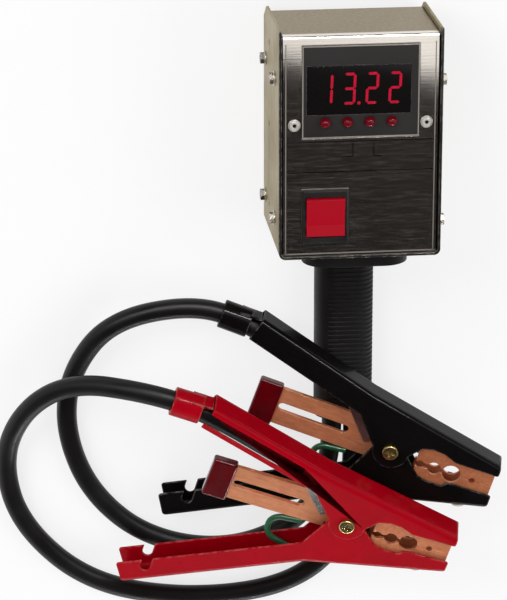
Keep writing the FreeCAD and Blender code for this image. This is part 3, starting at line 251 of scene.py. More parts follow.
def new_group(name: str, inputs: tuple[str, ...], output: str) -> tuple[Bench, Node, Node]:
    """Start a shader node group that turns a place and some numbers into one value.

    Args:
        name: the group's name.
        inputs: names of the numbers that go in besides the place.
        output: name of the value that comes out.

    Returns:
        The bench, the group's input node and its output node.
    """
    tree = bpy.data.node_groups.new(name, "ShaderNodeTree")
    tree.interface.new_socket("Vector", in_out="INPUT", socket_type="NodeSocketVector")
    for label in inputs:
        tree.interface.new_socket(label, in_out="INPUT", socket_type="NodeSocketFloat")
    tree.interface.new_socket(output, in_out="OUTPUT", socket_type="NodeSocketFloat")
    bench = Bench(tree)
    return bench, bench.add("NodeGroupInput"), bench.add("NodeGroupOutput")


def build_brushed_group() -> None:
    """Make the group of fine streaks along the first axis of its vector."""
    bench, source, sink = new_group("brushed_streaks", ("Along", "Across"), "Streaks")
    place = bench.axes(source.outputs["Vector"])
    join = bench.add("ShaderNodeCombineXYZ")
    for axis, rate in (("X", "Along"), ("Y", "Across"), ("Z", "Across")):
        bench.link(bench.math("MULTIPLY", place[axis], source.outputs[rate]), join.inputs[axis])
    fine = bench.noise(join.outputs[0], scale=1.0, detail=4.0, rough=0.75)
    bench.link(bench.ramp(fine, low=0.3, high=0.7), sink.inputs["Streaks"])


def build_field_groups() -> None:
    """Make the groups of fine moulded grain, and of broad handling marks in gloss and tone."""
    for name, output, detail, rough, low, high in (
        ("fine_grain", "Grain", 5.0, 0.65, 0.32, 0.68),
        ("handling_smudge", "Smudge", 3.0, 0.55, 0.35, 0.66),
    ):
        bench, source, sink = new_group(name, ("Scale",), output)
        field = bench.noise(source.outputs["Vector"], source.outputs["Scale"], detail, rough)
        bench.link(bench.ramp(field, low, high), sink.inputs[output])


def build_edge_group() -> None:
    """Make the group that finds edges from a rounded normal, for worn edges and painted glints."""
    bench, source, sink = new_group("edge_wear_and_glint", ("Radius",), "Edge")
    bevel = bench.add("ShaderNodeBevel", samples=EDGE_SAMPLES)
    bench.link(source.outputs["Radius"], bevel.inputs["Radius"])
    shape = bench.add("ShaderNodeNewGeometry")
    dot = bench.add("ShaderNodeVectorMath", operation="DOT_PRODUCT")
    bench.link(bevel.outputs[0], dot.inputs[0])
    bench.link(shape.outputs["Normal"], dot.inputs[1])
    edge = bench.ramp(dot.outputs["Value"], low=0.995, high=0.86)
    field = bench.noise(source.outputs["Vector"], scale=260.0, detail=4.0, rough=0.6)
    patchiness = bench.ramp(field, low=0.42, high=0.62)
    bench.link(bench.math("MULTIPLY", edge, patchiness), sink.inputs["Edge"])


def build_groups() -> None:
    """Make every shared effect once."""
    build_brushed_group()
    build_field_groups()
    build_edge_group()


@dataclass(frozen=True)
class Finish:
    """One procedural finish."""

    name: str
    tone: Tone
    second: Tone
    roughness: float
    metallic: float = 0.0
    pattern: Pattern = Pattern.GRAIN
    scale: float = 900.0
    stretch: float = 20.0
    turn: Point = ORIGIN
    swing: float = 0.12
    bump: float = 0.1
    coat: float = 0.0
    coat_roughness: float = 0.08
    specular: float = 0.5
    edge_tone: Tone | None = None
    edge_radius: float = 0.0006
    smudge_scale: float = 26.0
    mottle: float = 0.5
    least_roughness: float = 0.03

    def build(self) -> Material:
        """Lay out the finish.

        Returns:
            The material.
        """
        material = bpy.data.materials.new(self.name)
        material.use_nodes = True
        bench = Bench(material.node_tree)
        shader = material.node_tree.nodes["Principled BSDF"]
        vector = self.vector(bench)
        fine = self.fine(bench, vector)
        smudge = self.group(bench, "handling_smudge", vector, "Smudge", Scale=self.smudge_scale)
        share = bench.math("MULTIPLY", bench.math("ADD", fine, smudge), self.mottle)
        base = bench.mix(share, linear(self.tone), linear(self.second))
        colour = self.paint(bench, vector, base)
        # Edge tone: worn edges on most finishes; on the dipped levers a painted highlight, glints
        # along the bends.
        if self.edge_tone is not None:
            edge = self.group(bench, "edge_wear_and_glint", vector, "Edge", Radius=self.edge_radius)
            colour = bench.mix(edge, colour, linear(self.edge_tone))
        bench.link(colour, shader.inputs["Base Color"])
        low = max(self.least_roughness, self.roughness - self.swing)
        high = min(1.0, self.roughness + self.swing)
        rough = self.gloss(bench, vector, bench.ramp(smudge, 0.0, 1.0, low, high))
        bench.link(rough, shader.inputs["Roughness"])
        shader.inputs["Metallic"].default_value = self.metallic
        shader.inputs["Coat Weight"].default_value = self.coat
        shader.inputs["Coat Roughness"].default_value = self.coat_roughness
        shader.inputs["Specular IOR Level"].default_value = self.specular
        self.relief(bench, fine, shader)
        return material

    def vector(self, bench: Bench) -> Socket:
        """Give the place on the piece, turned so that streaks follow the first axis.

        Args:
            bench: where the nodes go.

        Returns:
            The place's socket.
        """
        place = bench.add("ShaderNodeTexCoord").outputs["Object"]
        if self.turn == ORIGIN:
            return place
        mapping = bench.add("ShaderNodeMapping")
        mapping.inputs["Rotation"].default_value = self.turn
        bench.link(place, mapping.inputs["Vector"])
        return mapping.outputs["Vector"]

    def group(
        self, bench: Bench, name: str, vector: Socket, output: str, **values: float
    ) -> Socket:
        """Place a shared effect.

        Args:
            bench: where it is placed.
            name: the effect's group.
            vector: where it is read.
            output: the socket wanted from it.
            values: its own numbers.

        Returns:
            The effect's output socket.
        """
        node = bench.add("ShaderNodeGroup")
        node.node_tree = bpy.data.node_groups[name]
        bench.link(vector, node.inputs["Vector"])
        for key, value in values.items():
            node.inputs[key].default_value = value
        return node.outputs[output]

    def fine(self, bench: Bench, vector: Socket) -> Socket:
        """Give the fine pattern's mask.

        Args:
            bench: where the nodes go.
            vector: the place on the piece.

        Returns:
            The mask's socket.
        """
        if self.pattern is Pattern.BRUSHED:
            rates = {"Along": self.stretch, "Across": self.scale}
            return self.group(bench, "brushed_streaks", vector, "Streaks", **rates)
        return self.group(bench, "fine_grain", vector, "Grain", Scale=self.scale)

    def paint(self, bench: Bench, vector: Socket, colour: Socket) -> Socket:
        """Change the colour before the edge tone is laid; the plain finish leaves it."""
        return colour

    def gloss(self, bench: Bench, vector: Socket, rough: Socket) -> Socket:
        """Change the roughness by place; the plain finish leaves it."""
        return rough

    def relief(self, bench: Bench, fine: Socket, shader: Node) -> None:
        """Raise the fine pattern on softly rounded edges.

        Args:
            bench: where the nodes go.
            fine: the pattern's mask.
            shader: the shader that takes the normal.
        """
        bevel = bench.add("ShaderNodeBevel", samples=EDGE_SAMPLES)
        bevel.inputs["Radius"].default_value = self.edge_radius
        bump = bench.add("ShaderNodeBump")
        bump.inputs["Strength"].default_value = self.bump
        bump.inputs["Distance"].default_value = RELIEF_DEPTH
        bench.link(fine, bump.inputs["Height"])
        bench.link(bevel.outputs[0], bump.inputs["Normal"])
        bench.link(bump.outputs[0], shader.inputs["Normal"])


@dataclass(frozen=True)
class MarkedFinish(Finish):
    """Finish with another tone on one part of the piece."""

    # Dark tone; on the front sheet it is painted shade where the sheet tucks under the rim.
    mark_tone: Tone = (20, 18, 17)
    fade: float = 0.0003

    def mask(self, bench: Bench, place: Axes) -> Socket:
        """Find by place where the other tone shows; each kind of piece has its own way."""
        raise NotImplementedError

    def paint(self, bench: Bench, vector: Socket, colour: Socket) -> Socket:
        """Lay the other tone over the colour."""
        mask = self.mask(bench, bench.axes(vector))
        return bench.mix(mask, colour, linear(self.mark_tone))


@dataclass(frozen=True)
class FrontFinish(MarkedFinish):
    """Polished front sheet: painted shade where it tucks under the rim; behind the bend mill
    finish, beige by painted reflection.
    """

    # The beige tone of the mill finish is a painted reflection of beige surroundings; speckle and
    # dullness are the sheet's own.
    mill_reflection_tone: Tone = (150, 133, 99)
    mill_reflection_second: Tone = (118, 104, 76)
    mill_speckle: float = 420.0
    mill_dullness: float = 0.25
    rim_side: float = 0.0473
    rim_low: float = -0.0043
    bend: float = 0.0775
    bend_fade: float = 0.003
    scratch_along: float = 80.0
    scratch_across: float = 1300.0
    scatter: float = 0.07

    def behind(self, bench: Bench, place: Axes, most: float = 1.0) -> Socket:
        """Give a value that grows from 0 to the most behind the bend."""
        return bench.ramp(place["Z"], self.bend, self.bend - self.bend_fade, 0.0, most)

    def mask(self, bench: Bench, place: Axes) -> Socket:
        """Find the edge that tucks under the rim, where the shade is painted.

        Args:
            bench: where the nodes go.
            place: the place on the piece by axis.

        Returns:
            The mask's socket.
        """
        reach = bench.math("ABSOLUTE", place["X"])
        side = bench.ramp(reach, self.rim_side, self.rim_side + self.fade)
        low = bench.ramp(place["Y"], self.rim_low, self.rim_low - self.fade)
        front = bench.math("SUBTRACT", 1.0, self.behind(bench, place))
        return bench.math("MAXIMUM", side, bench.math("MULTIPLY", low, front))

    def paint(self, bench: Bench, vector: Socket, colour: Socket) -> Socket:
        """Lay the mill finish, beige by painted reflection, behind the bend; then paint shade on
        the tucked edge.

        Args:
            bench: where the nodes go.
            vector: the place on the piece.
            colour: the polished colour.

        Returns:
            The changed colour's socket.
        """
        speckle = self.group(bench, "fine_grain", vector, "Grain", Scale=self.mill_speckle)
        mill_with_reflection = bench.mix(speckle, linear(self.mill_reflection_tone), linear(self.mill_reflection_second))
        behind = self.behind(bench, bench.axes(vector))
        return super().paint(bench, vector, bench.mix(behind, colour, mill_with_reflection))

    def gloss(self, bench: Bench, vector: Socket, rough: Socket) -> Socket:
        """Dull what lies behind the bend."""
        dull = self.behind(bench, bench.axes(vector), self.mill_dullness)
        return bench.math("ADD", rough, dull)

    def relief(self, bench: Bench, fine: Socket, shader: Node) -> None:
        """Raise the streaks, and let short scratches scatter a little light.

        Args:
            bench: where the nodes go.
            fine: the streaks' mask.
            shader: the shader that takes the normal and the scatter.
        """
        super().relief(bench, fine, shader)
        rates = {"Along": self.scratch_along, "Across": self.scratch_across}
        place = self.vector(bench)
        scratches = self.group(bench, "brushed_streaks", place, "Streaks", **rates)
        metal = bench.ramp(scratches, 0.5, 1.0, 1.0, 1.0 - self.scatter)
        bench.link(metal, shader.inputs["Metallic"])


@dataclass(frozen=True)
class WrapFinish(MarkedFinish):
    """Side sheet whose rim round the front is painted dark: painted shade in the gap and a painted
    dark reflection on its edge.
    """

    # Painted shade and dark reflection on the rim round the front.
    mark_tone: Tone = (22, 19, 18)
    rim_front: float = 0.0806

    def mask(self, bench: Bench, place: Axes) -> Socket:
        """Find the rim, where the dark is painted."""
        return bench.ramp(place["Z"], self.rim_front, self.rim_front + self.fade)


@dataclass(frozen=True)
class RivetFinish(MarkedFinish):
    """Bright hollow rivets with painted shade in the bore."""

    # Painted shade in the bore.
    mark_tone: Tone = (18, 16, 15)
    fade: float = 0.0002
    reach: float = 0.0405
    row: float = 0.078
    bore: float = 0.00135

    def mask(self, bench: Bench, place: Axes) -> Socket:
        """Find the bore of each rivet, where the shade is painted.

        Args:
            bench: where the nodes go.
            place: the place on the piece by axis.

        Returns:
            The mask's socket.
        """
        across = bench.math("SUBTRACT", bench.math("ABSOLUTE", place["X"]), self.reach)
        along = bench.math("SUBTRACT", place["Y"], self.row)
        squares = [bench.math("MULTIPLY", value, value) for value in (across, along)]
        radius = bench.math("SQRT", bench.math("ADD", *squares))
        return bench.ramp(radius, self.bore, self.bore - self.fade)


@dataclass(frozen=True)
class ScrewFinish(MarkedFinish):
    """Dark hex heads on bright washers, told apart by how far they stand off the sides."""

    mark_tone: Tone = (104, 99, 92)
    fade: float = 0.0002
    washer_top: float = 0.05085

    def mask(self, bench: Bench, place: Axes) -> Socket:
        """Find what stands above the washers."""
        reach = bench.math("ABSOLUTE", place["X"])
        return bench.ramp(reach, self.washer_top, self.washer_top + self.fade)


@dataclass(frozen=True)
class LitFinish(Finish):
    """Lit display segment with a fine grain in its light."""

    strength: float = 1.0

    def build(self) -> Material:
        """Lay out the lit finish.

        Returns:
            The material.
        """
        material = super().build()
        bench = Bench(material.node_tree)
        shader = material.node_tree.nodes["Principled BSDF"]
        grain = self.group(bench, "fine_grain", self.vector(bench), "Grain", Scale=self.scale)
        light = bench.mix(grain, linear(self.tone), linear(self.second))
        bench.link(light, shader.inputs["Emission Color"])
        shader.inputs["Emission Strength"].default_value = self.strength
        return material


@dataclass(frozen=True)
class TableFinish(Finish):
    """White table that eye and polish see part lit of itself, so that its shadow stays soft."""

    own_share: float = 0.74

    def build(self) -> Material:
        """Lay out the table's finish.

        Returns:
            The material.
        """
        material = super().build()
        bench = Bench(material.node_tree)
        shader = material.node_tree.nodes["Principled BSDF"]
        share = bench.math("MULTIPLY", seen_directly(bench), self.own_share)
        sink = material.node_tree.nodes["Material Output"]
        bench.whiten(share, shader, "ShaderNodeEmission", sink)
        return material


def seen_directly(bench: Bench) -> Socket:
    """Tell rays from the eye, a polished surface or glass from those that only carry light.

    Args:
        bench: where the nodes go.

    Returns:
        A socket that is 1 for rays that see.
    """
    path = bench.add("ShaderNodeLightPath")
    seen = bench.math("MAXIMUM", path.outputs["Is Camera Ray"], path.outputs["Is Glossy Ray"])
    return bench.math("MAXIMUM", seen, path.outputs["Is Transmission Ray"])


def lie_matrix(lie: Point) -> Matrix:
    """Turn a clamp by its plan turn and its rises to the case and to the right, in degrees."""
    z, x, y = (math.radians(value) for value in lie)
    return Matrix.Rotation(-y, 4, "Y") @ Matrix.Rotation(x, 4, "X") @ Matrix.Rotation(z, 4, "Z")


def link_object(name: str, data: bpy.types.ID) -> Piece:
    """Make an object of some data and put it in the scene.

    Args:
        name: the object's name.
        data: its mesh, curve, lamp or camera.

    Returns:
        The new object.
    """
    made = bpy.data.objects.new(name, data)
    bpy.context.scene.collection.objects.link(made)
    return made


def only(obj: Piece) -> None:
    """Select one object alone and make it active.

    Args:
        obj: the object.
    """
    bpy.ops.object.select_all(action="DESELECT")
    obj.select_set(True)
    bpy.context.view_layer.objects.active = obj


def square(name: str, size: float) -> Piece:
    """Start a flat part from a square at the origin.

    Args:
        name: the part's name.
        size: the square's side.

    Returns:
        The part, active and selected.
    """
    bpy.ops.object.select_all(action="DESELECT")
    bpy.ops.mesh.primitive_plane_add(size=size, location=ORIGIN)
    part = bpy.context.active_object
    part.name = name
    return part


def joined(name: str, parts: list[Piece], finish: Material, body: Body) -> Piece:
    """Join parts into one piece, dress it and let it ride.

    Args:
        name: the piece's name.
        parts: the parts, each with its place in its mesh.
        finish: its material.
        body: the body it moves with.

    Returns:
        The finished piece.
    """
    only(parts[0])
    for part in parts:
        part.select_set(True)
    if len(parts) > 1:
        bpy.ops.object.join()
    piece = bpy.context.view_layer.objects.active
    piece.name = name
    piece.data.name = name
    piece.data.materials.clear()
    piece.data.materials.append(finish)
    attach(piece, body.value)
    LOG.info("piece %s made of %d parts", name, len(parts))
    return piece


def slab(name: str, middle: Point, size: Point, corner: float, crown: float = 1.0) -> Piece:
    """Model a thin plate with clipped corners, lying on the face.

    Args:
        name: the part's name.
        middle: middle of its underside.
        size: width, height and thickness.
        corner: how much of each corner is taken off.
        crown: size of its top as a share of its foot.

    Returns:
        The part, with its place in its mesh.
    """
    part = square(name, 1.0)
    bpy.ops.object.mode_set(mode="EDIT")
    bpy.ops.mesh.select_all(action="SELECT")
    bpy.ops.transform.resize(value=(size[0], size[1], 1.0))
    if corner > 0.0:
        bpy.ops.mesh.bevel(offset=corner, affect="VERTICES", segments=1)
        bpy.ops.mesh.select_all(action="SELECT")
    bpy.ops.mesh.extrude_region_move(TRANSFORM_OT_translate={"value": (0.0, 0.0, size[2])})
    if crown < 1.0:
        tall = 1.0 - (1.0 - crown) * size[0] / size[1]
        bpy.ops.transform.resize(value=(crown, tall, 1.0))
    bpy.ops.mesh.select_all(action="SELECT")
    bpy.ops.mesh.normals_make_consistent(inside=False)
    bpy.ops.object.mode_set(mode="OBJECT")
    part.data.transform(Matrix.Translation(Vector(middle)))
    return part


@dataclass(frozen=True)
class Lamp:
    """One area lamp aimed at the tester."""

    name: str
    place: Point
    size: tuple[float, float]
    power: float
    polish_only: bool = False
    aim: Point = (-0.05, -0.06, 0.04)

    def build(self) -> None:
        """Hang the lamp."""
        lamp = bpy.data.lights.new(self.name, "AREA")
        lamp.shape = "RECTANGLE"
        lamp.size, lamp.size_y = self.size
        lamp.energy = self.power
        holder = link_object(self.name, lamp)
        holder.location = self.place
        holder.visible_diffuse = not self.polish_only
        aim = Vector(self.aim) - Vector(self.place)
        holder.rotation_euler = aim.to_track_quat("-Z", "Y").to_euler()


# Broad soft lamps round the tester, and two thin strips that only polish answers.
LAMPS = (
    Lamp("key_lamp", (-1.1, 0.9, 1.5), (0.9, 0.9), 15.0),
    Lamp("fill_lamp", (1.2, -0.3, 1.2), (1.0, 1.0), 8.0),
    Lamp("front_lamp", (-0.5, -1.5, 0.9), (0.8, 0.8), 6.0),
    Lamp("far_strip", (0.15, 0.68, 0.82), (1.0, 0.05), 12.0, polish_only=True),
    Lamp("near_strip", (0.15, -1.3, 0.22), (1.0, 0.05), 5.0, polish_only=True),
)


@dataclass
class Studio:
    """Camera, lamps, world and the pale table under the tester."""

    eye: Point = (-0.2524, 0.5709, 1.8182)
    right: Point = (0.9942, -0.0018, 0.1076)
    up: Point = (0.0368, 0.9452, -0.3244)
    forward: Point = (0.1011, -0.3264, -0.9398)
    lens: float = 180.0
    sensor: float = 36.0
    clip: tuple[float, float] = (0.05, 50.0)
    room_tint: tuple[float, float, float, float] = (0.95, 0.96, 1.0, 1.0)
    room_light: float = 0.5
    floor_half: float = 4.0
    floor_drop: float = 0.0004
    card_place: Point = (0.036, 0.047, 0.34)
    card_size: tuple[float, float] = (2.0, 1.1)
    card_slant: float = math.radians(-9.0)
    flag_far: float = 0.75
    flag_size: tuple[float, float] = (2.4, 0.9)

    def build(self) -> None:
        """Set up the whole studio."""
        self.build_camera()
        for lamp in LAMPS:
            lamp.build()
        self.build_world()
        self.build_floor()
        self.build_cards()
        bpy.context.scene.view_settings.view_transform = "Standard"

    def build_camera(self) -> None:
        """Set the camera at the viewing angle of the picture."""
        data = bpy.data.cameras.new("studio_camera")
        data.sensor_fit = "VERTICAL"
        data.sensor_height = data.sensor_width = self.sensor
        data.lens = self.lens
        data.clip_start, data.clip_end = self.clip
        camera = link_object("studio_camera", data)
        right, up, back = Vector(self.right), Vector(self.up), -Vector(self.forward)
        turn = Matrix((right, up, back)).transposed().to_4x4()
        camera.matrix_world = Matrix.Translation(Vector(self.eye)) @ turn
        bpy.context.scene.camera = camera

    def build_world(self) -> None:
        """Light the room softly, with white seen directly and in metal."""
        world = bpy.data.worlds.new("pale_room")
        world.use_nodes = True
        bench = Bench(world.node_tree)
        soft = world.node_tree.nodes["Background"]
        soft.inputs["Color"].default_value = self.room_tint
        soft.inputs["Strength"].default_value = self.room_light
        sink = world.node_tree.nodes["World Output"]
        bench.whiten(seen_directly(bench), soft, "ShaderNodeBackground", sink)
        bpy.context.scene.world = world

    def build_floor(self) -> None:
        """Lay the pale table."""
        floor = square("pale_table", 2 * self.floor_half)
        floor.data.transform(Matrix.Translation((0.0, 0.0, -self.floor_drop)))
        floor.data.materials.append(TABLE_WHITE.build())

    def build_cards(self) -> None:
        """Hang dark cards, over the tester and far behind it, that only polished surfaces see."""
        finish = CARD_DARK.build()
        wide, deep = self.card_size
        slant = Matrix.Translation(self.card_place) @ Matrix.Rotation(self.card_slant, 4, "Z")
        spread = Matrix.Diagonal((wide, deep, 1.0, 1.0))
        over = slant @ Matrix.Translation((0.0, -deep / 2, 0.0)) @ spread
        wide, tall = self.flag_size
        spread = Matrix.Diagonal((wide, tall, 1.0, 1.0))
        stand = Matrix.Rotation(math.radians(90.0), 4, "X") @ spread
        behind = Matrix.Translation((0.0, self.flag_far, tall / 2)) @ stand
        for name, place in (("card_over", over), ("card_behind", behind)):
            card = square(name, 1.0)
            card.data.transform(place)
            card.data.materials.append(finish)
            for ray in ("camera", "diffuse", "shadow", "transmission"):
                setattr(card, f"visible_{ray}", False)


@dataclass
class Lead:
    """One heavy lead from the handle's plug to its clamp."""

    colour: str
    points: tuple[Point, ...]
    length: float
    diameter: float = 0.013
    round_steps: int = 8
    long_steps: int = 18

    def build(self, pieces: list[Piece], finish: Material) -> None:
        """Lay the lead as one smooth spline.

        Args:
            pieces: the clamp's nodes and pieces that hang on the lead; not used.
            finish: the rubber jacket.
        """
        curve = bpy.data.curves.new(f"{self.colour}_lead_cord", "CURVE")
        curve.dimensions = "3D"
        curve.bevel_depth = self.diameter / 2
        curve.bevel_resolution = self.round_steps
        curve.resolution_u = self.long_steps
        curve.use_fill_caps = True
        spline = curve.splines.new("NURBS")
        spline.points.add(len(self.points) - 1)
        for knot, place in zip(spline.points, self.points):
            knot.co = (*place, 1.0)
        spline.order_u = 3
        spline.use_endpoint_u = True
        curve.materials.append(finish)
        cord = link_object(f"{self.colour}_lead_cord", curve)
        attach(cord, Body.TESTER.value)
        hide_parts(f"{self.colour}_lead")


# Strokes of each seven-segment digit: a on top, then clockwise to f, and g across the middle.
STROKES = {
    "0": "abcdef", "1": "bc", "2": "abged", "3": "abgcd", "4": "fgbc",
    "5": "afgcd", "6": "afgedc", "7": "abc", "8": "abcdefg", "9": "abcdfg",
}


@dataclass
class Readout:
    """Lit seven-segment digits behind the smoked window."""

    shown: str = "13.22"
    middle: tuple[float, float] = (0.0000, 0.1003)
    pitch: float = 0.01396
    width: float = 0.0079
    height: float = 0.0199
    stroke: float = 0.0017
    stroke_clip: float = 0.42
    gap: float = 0.00025
    slant: float = math.radians(2.2)
    front: float = 0.08131
    thickness: float = 0.00012
    point_size: float = 0.0021
    point_gap: float = 0.0022
    point_clip: float = 0.0006

    def bar(self, letter: str) -> tuple[Point, Point]:
        """Give one stroke of a digit.

        Args:
            letter: the stroke's letter.

        Returns:
            Its middle in the digit, and its size.
        """
        wide, tall = self.width - self.stroke, (self.height - self.stroke) / 2
        across = (wide - 2 * self.gap, self.stroke, self.thickness)
        along = (self.stroke, tall - 2 * self.gap, self.thickness)
        level = {"a": tall, "g": 0.0, "d": -tall}
        if letter in level:
            return (0.0, level[letter], 0.0), across
        side = 1 if letter in "bc" else -1
        rise = 1 if letter in "bf" else -1
        return (side * wide / 2, rise * tall / 2, 0.0), along

    def build(self, finish: Material) -> None:
        """Model every lit stroke and the point.

        Args:
            finish: the lit finish.
        """
        parts = []
        digits = self.shown.replace(".", "")
        lean = Matrix.Identity(4)
        lean[0][1] = math.tan(self.slant)
        dot = (self.width / 2 + self.point_gap, -(self.height - self.stroke) / 2, 0.0)
        dot_size = (self.point_size, self.point_size, self.thickness)
        for step, digit in enumerate(digits):
            x = self.middle[0] + self.pitch * (step - (len(digits) - 1) / 2)
            place = Matrix.Translation((x, self.middle[1], self.front)) @ lean
            made = []
            for letter in STROKES[digit]:
                made.append(slab("stroke", *self.bar(letter), self.stroke * self.stroke_clip))
            if self.shown[: step + 2].endswith("."):
                made.append(slab("point", dot, dot_size, self.point_clip))
            for part in made:
                part.data.transform(place)
            parts += made
        joined("lit_digits", parts, finish, Body.TESTER)


@dataclass
class PanelLines:
    """Printed rules, and painted highlights: a bright line on the edge of the front sheet and
    round the display plate.
    """

    left: float = -0.0453
    right: float = 0.0449
    rule_rows: tuple[float, float] = (0.0672, 0.0482)
    rule_width: float = 0.0006
    rule_clip: float = 0.0001
    drop_columns: tuple[float, float] = (-0.0046, 0.0083)
    drop_gap: float = 0.0012
    drop_low: float = 0.0577
    foot: float = 0.0047
    thickness: float = 0.00006
    edge_x: float = 0.0457
    edge_low: float = -0.0038
    edge_high: float = 0.1285
    edge_width: float = 0.0007
    edge_clip: float = 0.0002
    plate_middle: float = 0.0985
    plate_size: tuple[float, float] = (0.0716, 0.0576)
    # Painted highlight round the display plate: its width, foot and top.
    plate_line_width: float = 0.0008
    plate_line_low: float = FACE + 0.0006
    plate_line_top: float = 0.08168

    def line(self, name: str, middle: tuple[float, float], wide: float, tall: float) -> Piece:
        """Lay one line on the face round its middle; edges are clipped more than print."""
        clip = self.edge_clip if name == "edge" else self.rule_clip
        return slab(name, (*middle, FACE), (wide, tall, self.thickness), clip)

    def build_rules(self, finish: Material) -> None:
        """Print the two long rules and the two short drops with their feet.

        Args:
            finish: the print.
        """
        parts = []
        middle, long = (self.left + self.right) / 2, self.right - self.left
        for row in self.rule_rows:
            parts.append(self.line("rule", (middle, row), long, self.rule_width))
        tall = self.rule_rows[0] - self.drop_gap - self.drop_low
        for side, column in zip((-1, 1), self.drop_columns):
            drop = (column, self.drop_low + tall / 2)
            parts.append(self.line("drop", drop, self.rule_width, tall))
            foot = (column + side * self.foot / 2, self.drop_low)
            parts.append(self.line("foot", foot, self.foot, self.rule_width))
        joined("printed_rules", parts, finish, Body.TESTER)

    def build_edges(self, finish: Material) -> None:
        """Lay a painted highlight, a bright line down both sides and along the foot of the front.

        Args:
            finish: the painted highlight's finish.
        """
        tall = self.edge_high - self.edge_low
        middle = self.edge_low + tall / 2
        parts = [
            self.line("edge", (-self.edge_x, middle), self.edge_width, tall),
            self.line("edge", (self.edge_x, middle), self.edge_width, tall),
            self.line("edge", (0.0, self.edge_low), 2 * self.edge_x, self.edge_width),
        ]
        joined("front_edge_highlight", parts, finish, Body.TESTER)

    def build_plate_highlight(self, finish: Material) -> None:
        """Lay a painted highlight, a bright line on the rim of the display plate.

        Args:
            finish: the painted highlight's finish.
        """
        wide, tall = self.plate_size
        deep, strip = self.plate_line_top - self.plate_line_low, self.plate_line_width
        upright, level = (strip, tall, deep), (wide - 2 * strip, strip, deep)
        parts = []
        for side in (-1, 1):
            x = side * (wide / 2 - strip / 2)
            y = self.plate_middle + side * (tall / 2 - strip / 2)
            post = (x, self.plate_middle, self.plate_line_low)
            parts.append(slab("plate_line", post, upright, self.edge_clip))
            parts.append(slab("plate_line", (0.0, y, self.plate_line_low), level, 0.0))
        joined("plate_edge_highlight", parts, finish, Body.TESTER)


